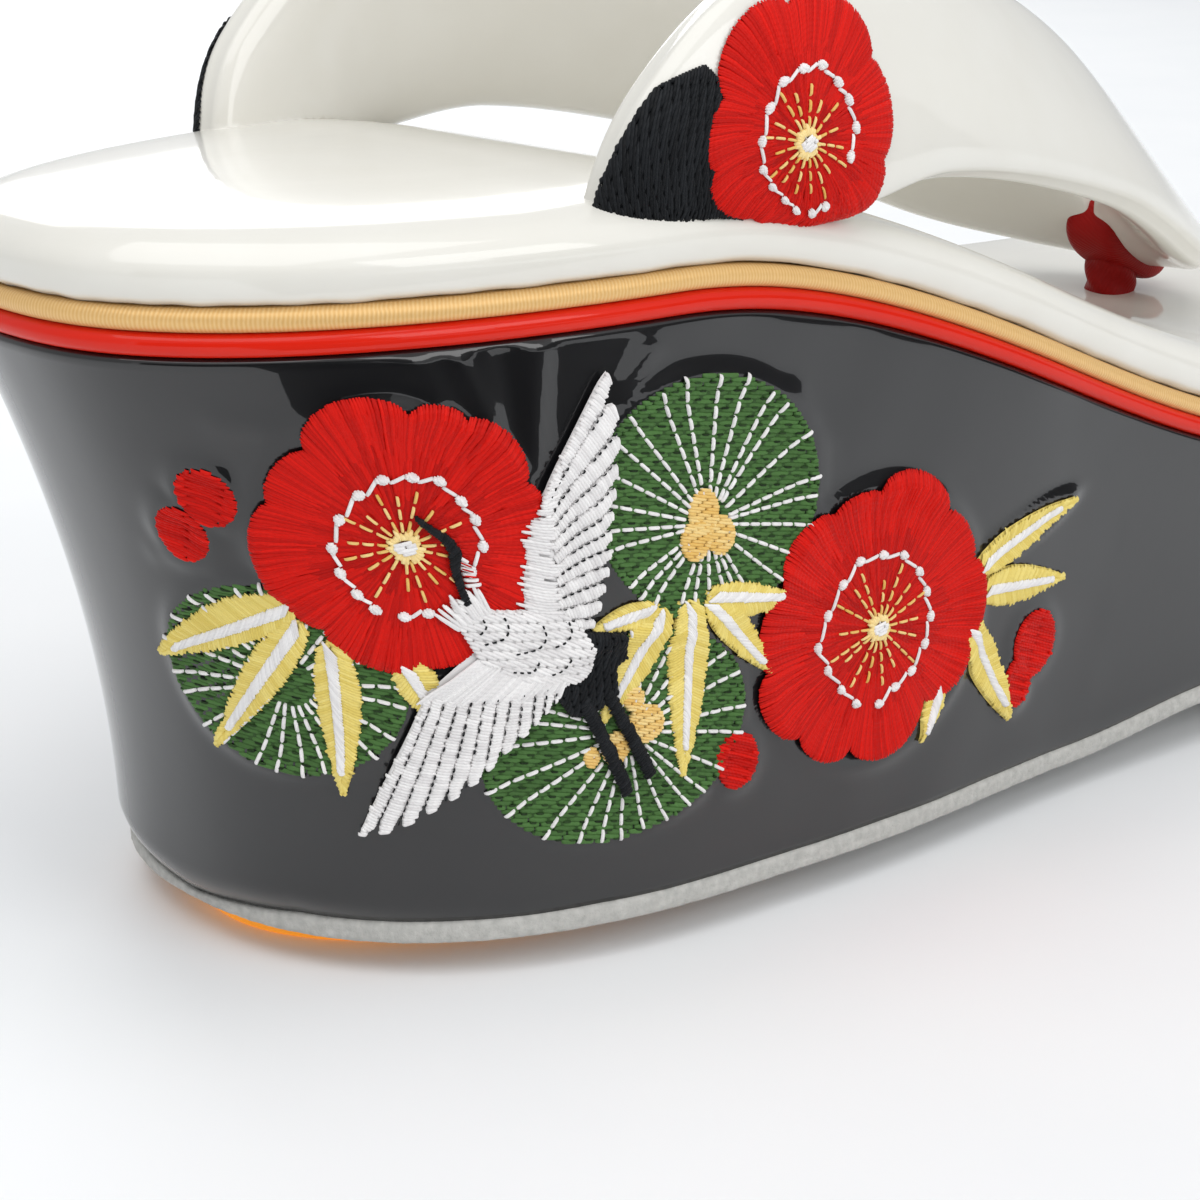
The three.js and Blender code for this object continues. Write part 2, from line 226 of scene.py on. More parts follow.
def add_mesh(name, points, faces, material, uv=None, shade=None):
    """A mesh from points in mm, faces of equal corner count, and if given a UV per corner and a shade
    per point."""
    mesh = bpy.data.meshes.new(name)
    corners = faces.shape[1]
    mesh.vertices.add(len(points))
    mesh.vertices.foreach_set("co", (points * MM).astype(np.float32).ravel())
    mesh.loops.add(faces.size)
    mesh.loops.foreach_set("vertex_index", faces.astype(np.int32).ravel())
    mesh.polygons.add(len(faces))
    mesh.polygons.foreach_set("loop_start", np.arange(0, faces.size, corners, dtype=np.int32))
    mesh.polygons.foreach_set("use_smooth", np.ones(len(faces), bool))
    if uv is not None:
        mesh.uv_layers.new(name="run").data.foreach_set("uv", uv.astype(np.float32).ravel())
    if shade is not None:
        tone = mesh.attributes.new("shade", "FLOAT", "POINT")
        tone.data.foreach_set("value", shade.astype(np.float32).ravel())
    mesh.update(calc_edges=True)
    mesh.validate()
    mesh.materials.append(material)
    piece = bpy.data.objects.new(name, mesh)
    bpy.context.scene.collection.objects.link(piece)
    return piece


def numbered(rows, columns, closed=False):
    """Numbers of a grid's points, row by row, with the first column again at the end of a closed one."""
    number = np.arange(rows * columns).reshape(rows, columns)
    return np.hstack([number, number[:, :1]]) if closed else number


def quads(number):
    """Faces between the neighbouring rows and columns of a numbered grid."""
    corners = [number[:-1, :-1], number[1:, :-1], number[1:, 1:], number[:-1, 1:]]
    return np.stack(corners, -1).reshape(-1, 4)


def ladder(ring):
    """Faces across a closed outline, each from the right side to its mirror place on the left."""
    half = len(ring) // 2
    right = ring[: half + 1]
    left = np.concatenate([ring[:1], ring[half:][::-1]])
    return np.stack([right[:-1], right[1:], left[1:], left[:-1]], 1)


def skin(name, grid, material, lids=True):
    """Closed skin through rings of points, the top ring first, with lids laid across from side to side.
    Its UV runs in mm: round the outline, and down the profile."""
    rows, columns = grid.shape[:2]
    faces = [quads(numbered(rows, columns, True))]
    middle = grid[rows // 2]
    spread = np.meshgrid(run_along(np.vstack([middle, middle[:1]])), run_along(grid[:, columns // 4]))
    corner_uv = [np.stack(spread, -1).reshape(-1, 2)[quads(numbered(rows, columns + 1))]]
    flat = grid.reshape(-1, 3)
    if lids:
        number = numbered(rows, columns)
        for lid in (ladder(number[0]), ladder(number[-1])[:, ::-1]):
            faces.append(lid)
            corner_uv.append(flat[lid][..., :2])
    return add_mesh(name, flat, np.vstack(faces), material, np.vstack(corner_uv))


def grid_normals(grid):
    """Outward direction at each point of a grid of rings: down the rows crossed with round the columns."""
    down = np.gradient(grid, axis=0)
    around = np.roll(grid, -1, axis=1) - np.roll(grid, 1, axis=1)
    return unit(np.cross(down, around))


def rings(profile, outline, height, count):
    """Grid of rings: each row of the profile gives "grow" to the outline and "lift" to the height."""
    run, side = loop_run(count)
    grow, lift = (profile[:, k][:, None] for k in range(2))
    along, out = outline(run[None, :], grow)
    return np.stack([along - LENGTH / 2, side * out, height(along) + lift], -1)


# Materials

def linear(colour):
    """An sRGB hex colour as linear red, green, blue and full alpha."""
    values = np.array([int(colour[k:k + 2], 16) for k in (1, 3, 5)]) / 255
    values = np.where(values <= 0.04045, values / 12.92, ((values + 0.055) / 1.055) ** 2.4)
    return (*values, 1.0)


def add_node(tree, kind, settings, links=()):
    """Adds a node. Settings name a property or an input; links give an input and the output that feeds it."""
    node = tree.nodes.new(kind)
    for key, value in settings.items():
        if isinstance(key, str) and hasattr(node, key):
            setattr(node, key, value)
        else:
            node.inputs[key].default_value = value
    for key, source in links:
        tree.links.new(source, node.inputs[key])
    return node


def new_material(name, principled):
    """A material whose principled shader has the given settings: returns material, tree and shader."""
    material = bpy.data.materials.new(name)
    material.use_nodes = True
    tree = material.node_tree
    shader = tree.nodes["Principled BSDF"]
    for key, value in principled.items():
        shader.inputs[key].default_value = value
    return material, tree, shader


def coordinates(tree, kind):
    """Output of the coordinates of a kind, Object in metres or UV in mm."""
    return add_node(tree, "ShaderNodeTexCoord", {}).outputs[kind]


def cloud(tree, where, scale, detail, roughness=0.5):
    """Output of soft noise over coordinates."""
    settings = {"Scale": scale, "Detail": detail, "Roughness": roughness}
    return add_node(tree, "ShaderNodeTexNoise", settings, [("Vector", where)]).outputs["Fac"]


def maths(tree, operation, *inputs):
    """Output of a calculation. Each input is a constant value or the output that feeds it."""
    fixed = {k: value for k, value in enumerate(inputs) if isinstance(value, float)}
    fed = [(k, value) for k, value in enumerate(inputs) if k not in fixed]
    return add_node(tree, "ShaderNodeMath", {"operation": operation, **fixed}, fed).outputs["Value"]


def stripes(tree, length, apart_mm):
    """Output of a sine that goes through one wave in every "apart_mm" of a length."""
    return maths(tree, "SINE", maths(tree, "MULTIPLY", length, 2 * np.pi / apart_mm))


def two_tones(tree, shader, dark, light, share):
    """Base colour between two tones, by a share from 0 to 1."""
    tones = {"data_type": "RGBA", 6: linear(dark), 7: linear(light)}
    blend = add_node(tree, "ShaderNodeMix", tones, [(0, share)])
    tree.links.new(blend.outputs[2], shader.inputs["Base Color"])


def mottled(name, principled, dark, light, blotch_mm):
    """A new material whose base colour drifts between two near tones in blotches of a size: returns
    material, tree, shader and the coordinates."""
    material, tree, shader = new_material(name, principled)
    where = coordinates(tree, "Object")
    two_tones(tree, shader, dark, light, cloud(tree, where, 1 / (blotch_mm * MM), 3.0))
    return material, tree, shader, where


def relief(tree, shader, height, depth_mm, strength, sockets=("Normal",)):
    """Bump of a real depth from a height output, fed to the shader's normals."""
    settings = {"Strength": strength, "Distance": depth_mm * MM}
    bump = add_node(tree, "ShaderNodeBump", settings, [("Height", height)])
    for socket in sockets:
        tree.links.new(bump.outputs["Normal"], shader.inputs[socket])


def patent(name, dark, light, coat, coat_roughness):
    """Patent leather: dyed hide under a poured lacquer. Deep even colour with a mirror coat over it,
    and a faint orange peel about 2.5 mm across that makes reflections swim a little."""
    lacquer = {
        "Roughness": 0.4, "IOR": 1.5, "Specular IOR Level": 0.25 * coat,
        "Coat Weight": coat, "Coat Roughness": coat_roughness, "Coat IOR": 1.55,
    }
    material, tree, shader, where = mottled(name, lacquer, dark, light, 9.0)
    peel = cloud(tree, where, 1 / (2.5 * MM), 1.0)
    relief(tree, shader, peel, 0.03, 0.25, ("Normal", "Coat Normal"))
    return material


def gold_foil():
    """Gold foiled leather, stamped with fine cross ribs 0.42 mm apart: a warm half-metal sheen. Its base
    colour follows the ribs, with a painted highlight on the crests and painted shade in the grooves."""
    sheen = {"Metallic": 0.2, "Roughness": 0.42, "IOR": 1.5}
    material, tree, shader = new_material("gold_foil_leather", sheen)
    where = coordinates(tree, "UV")
    split = add_node(tree, "ShaderNodeSeparateXYZ", {}, [("Vector", where)])
    wander = cloud(tree, where, 0.35, 2.0)
    shifted = maths(tree, "MULTIPLY_ADD", wander, 0.5, split.outputs["X"])
    rib_crest_and_painted_shade = maths(tree, "MULTIPLY_ADD", stripes(tree, shifted, 0.42), 0.5, 0.5)
    # Painted highlight and painted shade: crests lighter and grooves darker, following the rib height
    two_tones(tree, shader, "#e0b16b", "#ebc384", rib_crest_and_painted_shade)
    relief(tree, shader, rib_crest_and_painted_shade, 0.05, 0.35)
    return material


def split_leather():
    """Grey split leather: a cut, brushed edge. Matt and pale, with fibres a few tenths of a mm thick."""
    matt = {"Roughness": 0.85, "IOR": 1.45}
    material, tree, shader, where = mottled("grey_split_leather", matt, "#9d9d99", "#d3d1cc", 0.9)
    relief(tree, shader, cloud(tree, where, 1 / (0.5 * MM), 4.0, 0.7), 0.25, 0.8)
    return material


def amber_rubber():
    """Moulded translucent crepe rubber: amber. It carries a painted glow, a warm emission that stands in for
    light come through from its far side, and this painted glow tints the floor beside it."""
    rubber = {
        "Roughness": 0.42, "IOR": 1.52, "Specular IOR Level": 0.3, "Subsurface Weight": 0.5,
        "Subsurface Scale": 0.004, "Subsurface Radius": (1.0, 0.5, 0.15),
        # Painted glow: amber emission on a part that is no lamp
        "Emission Color": linear("#f09c30"), "Emission Strength": 0.5,
    }
    material, tree, shader, where = mottled("amber_crepe_rubber_painted_glow", rubber, "#d68c2a", "#e49c40", 4.0)
    pits = add_node(tree, "ShaderNodeTexVoronoi", {"Scale": 1 / (1.6 * MM)}, [("Vector", where)])
    relief(tree, shader, pits.outputs["Distance"], 0.15, 0.35)
    return material


def silk_thread(name, dark, light):
    """Rayon embroidery thread, two-ply twisted: lustrous, each stitch a little lighter or darker than the
    next, with the twist drawn as slanted ridges 0.6 mm apart, coarser than real so that it shows."""
    lustre = {"Roughness": 0.48, "IOR": 1.5, "Specular IOR Level": 0.14}
    material, tree, shader = new_material(name, lustre)
    shade = add_node(tree, "ShaderNodeAttribute", {"attribute_name": "shade"})
    two_tones(tree, shader, dark, light, shade.outputs["Fac"])
    split = add_node(tree, "ShaderNodeSeparateXYZ", {}, [("Vector", coordinates(tree, "UV"))])
    lean = maths(tree, "MULTIPLY_ADD", split.outputs["Y"], 0.6, split.outputs["X"])
    relief(tree, shader, stripes(tree, lean, 0.6), 0.03, 0.5)
    return material


BLACK_PATENT = patent("black_patent_leather", "#0b0b0d", "#111114", 1.0, 0.03)
RED_PATENT = patent("red_patent_leather", "#d21905", "#de250b", 0.4, 0.08)
CREAM_PATENT = patent("cream_patent_leather", "#e0ddd4", "#e6e4dd", 0.8, 0.07)
GOLD_FOIL = gold_foil()
SPLIT_LEATHER = split_leather()
AMBER_RUBBER = amber_rubber()
RED_CORD = silk_thread("red_silk_cord", "#8f0d0a", "#c4201a")
THREADS = {
    "green": silk_thread("green_rayon_thread", "#131d10", "#4f763f"),
    "red": silk_thread("red_rayon_thread", "#a20703", "#dc170b"),
    "leaf": silk_thread("straw_yellow_rayon_thread", "#d9bf58", "#efdc84"),
    "gold": silk_thread("pale_gold_rayon_thread", "#e2b45c", "#f8e1a2"),
    "white": silk_thread("white_rayon_thread", "#d8d5d5", "#f1efee"),
    "black": silk_thread("black_rayon_thread", "#0e0f11", "#212326"),
}


# Embroidered side: places are "a", mm along the right wall from the heel's back, and "z", mm above the floor

RUN_SHARES = np.linspace(0, 1, 1600)
RUN_MM = run_along(np.stack(half_plan(RUN_SHARES, hollow(0.5), 0.0), 1))

# Discs of embroidery: centre, half sizes, tilt in degrees
PLUM_LEFT, PLUM_RIGHT = np.array([33.1, 47.4]), np.array([87.9, 29.2])
PINE_UPPER = (65.4, 47.6, 13.8, 12.8, -10)
PINE_LOWER = (52.4, 24.4, 16.2, 11.0, 8)
PINE_LEFT = (18.2, 33.2, 12.4, 10.3, 0)
TOP_LEAF = (111.6, 35.2, 8.4, 2.0, 17.6)
BUDS = (
    (16.6, 52.7, 2.9, 3.0, 0), (12.7, 48.5, 2.8, 2.9, 0), (67.1, 18.8, 3.1, 3.1, 0),
    (115.0, 21.2, 3.9, 4.0, 0), (112.1, 17.3, 2.6, 3.0, 0),
)
PLUM_DISCS = ((*PLUM_LEFT, 13.6, 13.9, 0), (*PLUM_RIGHT, 16.6, 15.6, 0))
DISCS = np.array([*PLUM_DISCS, PINE_UPPER, PINE_LOWER, PINE_LEFT, *BUDS, TOP_LEAF])

# Creases that the sewing pulls in the leather: start, end, height and half width
CREASES = np.array([
    (45.3, 51.6, 42.4, 64.8, 0.34, 0.9), (45.9, 52.6, 46.2, 65.4, -0.26, 1.0),
    (46.6, 53.6, 49.6, 65.6, 0.32, 1.1), (41.2, 57.4, 38.6, 65.2, 0.24, 1.4),
    (27.2, 58.8, 20.6, 60.4, 0.26, 1.6), (15.0, 53.4, 22.8, 57.4, -0.22, 1.5),
    (8.4, 45.6, 15.0, 44.8, 0.2, 1.4), (57.0, 60.6, 60.4, 63.8, 0.24, 1.2),
    (76.6, 57.0, 79.6, 50.4, 0.22, 1.3),
])
PUFF, PUFF_WIDE, SLACK, PRESS = 0.75, 1.4, 0.1, 0.12


def crease_height(a, z):
    """Creases as rounded ridges or grooves: each falls off by a bell curve with the distance from it."""
    total = np.zeros(np.broadcast(a, z).shape)
    for start_a, start_z, end_a, end_z, height, half in CREASES:
        run_a, run_z = end_a - start_a, end_z - start_z
        share = np.clip(((a - start_a) * run_a + (z - start_z) * run_z) / (run_a ** 2 + run_z ** 2), 0, 1)
        away = np.hypot(a - start_a - share * run_a, z - start_z - share * run_z)
        total = total + height * np.exp(-(away / half) ** 2)
    return total


def pucker(a, z):
    """How the sewing works the leather: pressed in under each disc, puffed up to a rim of uneven height
    at its edge, creased between, and slack by a tenth of a millimetre elsewhere."""
    near = np.full(np.broadcast(a, z).shape, 99.0)
    for disc_a, disc_z, half_a, half_z, tilt in DISCS:
        right, up = turned(a - disc_a, z - disc_z, -tilt)
        reach = np.hypot(right / half_a, up / half_z)
        near = np.minimum(near, (reach - 1) * (half_a + half_z) / 2)
    uneven = 0.7 + 0.3 * ripple(a + 0.6 * z, (23.0, 37.0), 3)
    puff = PUFF * uneven * np.exp(-((near + 0.3) / PUFF_WIDE) ** 2)
    slack = SLACK * ripple(a + 0.35 * z, (17.0, 26.0), 5) * ripple(z - 0.2 * a, (15.0, 21.0), 6)
    return puff + slack + crease_height(a, z) * ease(0.2, 1.2, near) - PRESS * (1 - ease(-1.0, 0.6, near))


def bare_wall(a, z):
    """Point of the smooth right wall at (a, z): the run gives the place on the outline, and the level
    is found by a few rounds of reading the wall's top and foot where the outline then lies."""
    run = np.interp(a, RUN_MM, RUN_SHARES)
    level = np.full(np.shape(run), 0.5)
    for _ in range(5):
        along, _ = half_plan(run, hollow(level), 0.0)
        level = np.clip((wall_top(along) - z) / (wall_top(along) - sole_top(along)), 0, 1)
    along, out = half_plan(run, hollow(level), 0.0)
    return np.stack([along - LENGTH / 2, -out, z], -1)


def lifted(surface, first, second, steps, height):
    """Points at a height off a surface of two measures: out along the cross of its two directions there."""
    forward = surface(first + steps[0], second) - surface(first - steps[0], second)
    upward = surface(first, second + steps[1]) - surface(first, second - steps[1])
    return surface(first, second) + unit(np.cross(forward, upward)) * height[..., None]


def on_wall(place, height):
    """Points at a height off the wall as the sewing has worked it."""
    a, z = place[..., 0], place[..., 1]
    return lifted(bare_wall, a, z, (0.4, 0.4), height + pucker(a, z))


# Stitches: each is a row of start (2), end (2), width, height of its bed, lift of its back, shade

def sew(start, end, width, bed, lift=0.2, shade=(0.3, 1.0)):
    """Rows for stitches between matching starts and ends, each with its own shade out of a range."""
    start, end = np.atleast_2d(start), np.atleast_2d(end)
    count = len(start)
    fixed = np.stack([np.broadcast_to(value, count) for value in (width, bed, lift)], 1)
    return np.hstack([start, end, fixed, RNG.uniform(*shade, (count, 1))])


# A stitch's stations from end to end with their arch and taper, points over its back, depth of its ends
STATIONS = np.array([0, 0.07, 0.22, 0.5, 0.78, 0.93, 1])
ARCH = np.array([0, 0.62, 0.95, 1, 0.95, 0.62, 0])[None, :, None]
TAPER = np.array([0.5, 0.85, 1, 1, 1, 0.85, 0.5])[None, :, None]
BACK = np.cos(np.linspace(np.pi, 0, 5))
DIVE = 0.22

# Rings of a padding from its edge to its middle, how far its edge is rounded down, and its shade: a tone
# below most stitches, painted shade in the gaps between them
PADDING_RINGS = np.array([1, 0.97, 0.9, 0.75, 0.5, 0.25, 0.02])
PADDING_DROP, PADDING_PAINTED_SHADE = 0.35, 0.45


def thread_piece(name, rows, place, material, turn):
    """All stitches of one thread as one mesh. Each is a half-round back on 7 stations by 5 points:
    straight from start to end, arched up from its bed, with ends that dive into their holes.
    A turn of -1 keeps faces outward on a mirrored place."""
    rows = np.vstack(rows)
    start, end = rows[:, None, None, 0:2], rows[:, None, None, 2:4]
    width, bed, lift = (rows[:, k][:, None, None] for k in (4, 5, 6))
    along, back = STATIONS[None, :, None], BACK[None, None, :]
    aside = left_of(unit(end - start)) * (back * width / 2 * TAPER)[..., None]
    height = bed + lift * ARCH * np.sqrt(1 - back ** 2) - DIVE * (1 - ARCH)
    points = place(start + (end - start) * along[..., None] + aside, height).reshape(-1, 3)
    size = len(STATIONS) * len(BACK)
    cell = quads(numbered(len(STATIONS), len(BACK)))
    faces = (np.arange(len(rows))[:, None, None] * size + cell[None]).reshape(-1, 4)[:, ::turn]
    length = np.linalg.norm(rows[:, 2:4] - rows[:, 0:2], axis=1)[:, None, None]
    uv = np.stack(np.broadcast_arrays(length * along, back * width / 2), -1).reshape(-1, 2)
    return add_mesh(name, points, faces, material, uv[faces], np.repeat(rows[:, 7], size))


def bed_patch(name, outlines, place, material, turn):
    """Padding under the stitches: each closed outline filled by rings drawn in to its middle,
    raised to the bed height and rounded down at the edge. Outlines come with their bed height."""
    points, faces, total = [], [], 0
    for outline, bed in outlines:
        outline = np.asarray(outline, float)
        middle = outline.mean(0)
        flat = middle + (outline - middle)[None] * PADDING_RINGS[:, None, None]
        height = np.broadcast_to((bed - PADDING_DROP * PADDING_RINGS ** 12)[:, None], flat.shape[:2])
        points.append(place(flat, height).reshape(-1, 3))
        faces.append(total + quads(numbered(*flat.shape[:2], True))[:, [0, 3, 2, 1]])
        total += height.size
    points, faces = np.vstack(points), np.vstack(faces)[:, ::turn]
    # The padding's tone, darker than most stitches, is painted shade where it shows between them
    return add_mesh(name, points, faces, material, shade=np.full(len(points), PADDING_PAINTED_SHADE))


def stitched(where, sewn, pads, place, turn=1):
    """One mesh for each thread's stitches and one for its padding."""
    made = []
    for name, rows in sewn.items():
        made.append(thread_piece(f"{where}_{name}_stitches", rows, place, THREADS[name], turn))
    for name, outlines in pads.items():
        if outlines:
            made.append(bed_patch(f"{where}_{name}_padding", outlines, place, THREADS[name], turn))
    return made


def along_edge(edge, share):
    """Points at even shares along an edge line."""
    edge = np.asarray(edge, float)
    far = run_along(edge)
    return np.stack([np.interp(share, far / far[-1], edge[:, k]) for k in range(2)], -1)


def satin(left, right, pitch, slant, width, bed, lift=0.2, ragged=0.12):
    """Satin stitch: threads side by side from one edge to the other, leaning on by "slant" mm, with
    ends a little ragged."""
    length = run_along(left)[-1]
    count = max(2, int(length / pitch))
    share = (np.arange(count) + 0.5) / count
    start = along_edge(left, share)
    end = along_edge(right, np.clip(share + slant / length, 0, 1))
    way = unit(end - start)
    start = start - way * RNG.normal(0, ragged, (count, 1))
    end = end + way * RNG.normal(0, ragged, (count, 1))
    return sew(start, end, width, bed, lift)


def running(path, stitch, share, width, bed, lift=0.2, shade=(0.3, 1.0)):
    """Running stitch: even dashes along a line, each covering a share of its step."""
    count = max(1, int(round(run_along(path)[-1] / stitch)))
    begin = (np.arange(count) + (1 - share) / 2) / count
    return sew(along_edge(path, begin), along_edge(path, begin + share / count), width, bed, lift, shade)


def tatami(outline, angle, pitch, stitch, width, bed, lift=0.2, cover=1.0, shade=(0.3, 1.0)):
    """Tatami fill: rows at an angle across a closed outline, cut into stitches, each row's cuts a third
    of a stitch further on. Each stitch covers a share of its step."""
    flat = np.stack(turned(*np.asarray(outline, float).T, -angle), 1)
    after = np.roll(flat, -1, axis=0)
    rows = []
    for k, level in enumerate(np.arange(flat[:, 1].min() + pitch / 2, flat[:, 1].max(), pitch)):
        crosses = (flat[:, 1] > level) != (after[:, 1] > level)
        low, high = flat[crosses], after[crosses]
        places = np.sort(mix(low[:, 0], high[:, 0], (level - low[:, 1]) / (high[:, 1] - low[:, 1])))
        for enter, leave in zip(places[::2], places[1::2]):
            cuts = np.arange(np.floor(enter / stitch) - 1, leave / stitch + 1) * stitch + (k % 3) * stitch / 3
            cuts = cuts + RNG.normal(0, 0.12, len(cuts))
            cuts = np.concatenate([[enter], cuts[(cuts > enter + 0.4) & (cuts < leave - 0.4)], [leave]])
            line = np.stack(turned(cuts, level, angle), 1)
            spare = (line[1:] - line[:-1]) * (1 - cover) / 2
            rows.append(sew(line[:-1] + spare, line[1:] - spare, width, bed, lift, shade))
    return np.vstack(rows)


def ellipse(centre_a, centre_z, half_a, half_z, tilt, count=72):
    """Closed outline of a tilted ellipse."""
    turn = np.linspace(0, 2 * np.pi, count, endpoint=False)
    right, up = turned(half_a * np.cos(turn), half_z * np.sin(turn), tilt)
    return np.stack([centre_a + right, centre_z + up], 1)


def polar(centre, radius, angle):
    """Points at a radius and an angle in degrees round a centre."""
    turn = np.radians(angle)
    return np.stack([centre[0] + radius * np.cos(turn), centre[1] + radius * np.sin(turn)], -1)


# Ways of filling an outline
PINE_FILL = dict(angle=-9, pitch=0.45, stitch=2.4, width=0.5, bed=0.12, lift=0.18, shade=(0.68, 1.0))
PINE_PRICKS = dict(angle=-9, pitch=0.9, stitch=1.9, width=0.2, bed=0.3, lift=0.08, cover=0.5,
                   shade=(0.05, 0.3))
CONE_FILL = dict(angle=-14, pitch=0.32, stitch=2.0, width=0.38, bed=0.5, shade=(0.1, 0.75))
BUD_FILL = dict(angle=-22, pitch=0.32, stitch=9.0, width=0.4, bed=0.3, lift=0.18)
BODY_FILL = dict(angle=-28, pitch=0.34, stitch=2.6, width=0.42, bed=1.2)
TAIL_FILL = dict(angle=68, pitch=0.32, stitch=2.8, width=0.42, bed=1.0)
GROUND_FILL = dict(angle=38, pitch=0.32, stitch=4.0, width=0.42, bed=0.25, lift=0.18)
MIDDLE_FILL = dict(angle=10, pitch=0.34, stitch=3.0, width=0.42, lift=0.16)

# Ways of sewing satin from edge to edge
BLADE_SATIN = dict(pitch=0.3, slant=1.0, width=0.36, lift=0.16)
RIB_SATIN = dict(pitch=0.3, slant=1.7, width=0.36, ragged=0.06)
FEATHER_SATIN = dict(pitch=0.33, slant=0.5, width=0.4, lift=0.18)
COVERT_SATIN = dict(pitch=0.3, slant=1.2, width=0.38, bed=1.12, ragged=0.4)
NECK_SATIN = dict(pitch=0.3, slant=0.5, width=0.42, bed=1.3, lift=0.24, ragged=0.06)
LEG_SATIN = dict(pitch=0.32, slant=0.5, width=0.44, bed=1.1, lift=0.26, ragged=0.08)

# Ways of sewing dashes along a line
FILAMENT_DASHES = dict(stitch=1.55, share=0.84, width=0.3, shade=(0.0, 0.7))
NEEDLE_DASHES = dict(stitch=1.55, share=0.93, width=0.4, lift=0.26, shade=(0.4, 0.95))
SEAM_DASHES = dict(stitch=0.8, share=0.6, width=0.16, lift=0.12)
SCALE_DASHES = dict(stitch=0.75, share=0.6, width=0.2, bed=1.4, lift=0.12)

# Plum blossoms: notches in the outline as angle in degrees and radius, and the rise of the lobe after each
PLUM_LEFT_LOBES = np.array([
    (-138, 12.6, 1.5), (-95, 12.4, 0.8), (-62, 11.9, 1.4), (-22, 12.2, 1.3), (24, 13.4, 1.7),
    (56, 14.6, 1.2), (76, 13.6, 2.4), (121, 11.9, 0.8), (156, 12.0, 1.9),
])
PLUM_RIGHT_LOBES = np.array([
    (-174, 16.5, 2.3), (-140, 15.1, 1.6), (-106, 13.5, 2.0), (-53, 12.8, 1.7), (-17, 15.2, 1.9),
    (19, 15.4, 0.9), (49, 15.0, 2.4), (92, 15.1, 0.7), (117, 15.4, 1.7), (153, 15.6, 1.5),
])

# Layers of a blossom: one thread in how many, outer and inner end by radius, stagger, lift, lightest shade,
# lower inward as painted sheen at the rim and painted shade at the middle
PLUM_LAYERS = (
    (1, 1.0, 0.56, 0.003, 0.17, 1.0), (2, 0.74, 0.30, 0.05, 0.16, 0.85), (4, 0.46, 0.07, 0.05, 0.15, 0.7),
)

# Knots round each blossom's middle, clockwise from the lower left; a gap follows each of the named ones
PLUM_LEFT_KNOTS = np.array([
    (29.0, 41.1), (27.7, 42.8), (26.7, 45.1), (26.6, 47.7), (28.0, 50.6), (30.3, 53.0), (32.7, 54.4),
    (35.3, 54.4), (37.6, 53.8), (39.1, 51.6), (40.0, 49.6), (40.2, 46.8), (38.6, 44.3), (33.8, 40.4),
    (31.5, 40.2),
])
PLUM_RIGHT_KNOTS = np.array([
    (84.7, 21.3), (82.4, 23.4), (80.3, 26.0), (78.8, 28.8), (80.2, 32.1), (82.3, 35.1), (84.7, 37.2),
    (88.1, 37.3), (91.2, 36.7), (93.7, 34.4), (95.0, 31.9), (95.8, 28.9), (95.0, 25.9), (93.0, 23.2),
    (90.5, 21.9), (88.1, 20.5),
])
PLUM_LEFT_GAPS, PLUM_RIGHT_GAPS = (12,), ()

# Stitches of a knot: shift along the ring of knots, and half length across it
KNOT_ROWS = ((-0.44, 0.28), (-0.23, 0.47), (0.0, 0.55), (0.23, 0.47), (0.44, 0.28))
FILAMENTS = 17


def plum_radius(lobes, angle):
    """Radius of a blossom: straight from notch to notch, plus each lobe's rise as a rounded hump."""
    notch, radius, rise = lobes.T
    angle = (angle - notch[0]) % 360 + notch[0]
    ends = np.append(notch, notch[0] + 360)
    lobe = np.clip(np.searchsorted(ends, angle, side="right") - 1, 0, len(notch) - 1)
    share = (angle - ends[lobe]) / (ends[lobe + 1] - ends[lobe])
    line = mix(radius[lobe], np.roll(radius, -1)[lobe], share)
    return line + rise[lobe] * (1 - (2 * share - 1) ** 2) ** 0.6


def plum_threads(centre, lobes, count, bed):
    """Long and short satin: every thread runs to the middle in up to three stitches with staggered ends."""
    angle = (np.arange(count) + RNG.uniform(-0.3, 0.3, count)) * 360 / count
    radius = plum_radius(lobes, angle)
    layers = []
    for every, outer, inner, stagger, lift, light in PLUM_LAYERS:
        turn, reach = angle[::every], radius[::every]
        far = polar(centre, reach * (outer + RNG.normal(0, stagger, len(turn))), turn)
        near = polar(centre, reach * (inner + RNG.normal(0, 0.06, len(turn))), turn)
        width = 0.34 + 0.05 * (every - 1)
        # Inner layers get darker tones: painted sheen at the rim and painted shade toward the middle
        layers.append(sew(far, near, width, bed - 0.02 * every, lift, (light - 0.65, light)))
    return np.vstack(layers)


def plum_outline(centre, lobes):
    """Closed outline of a blossom."""
    angle = np.linspace(0, 360, 180, endpoint=False)
    return polar(centre, plum_radius(lobes, angle) - 0.15, angle)


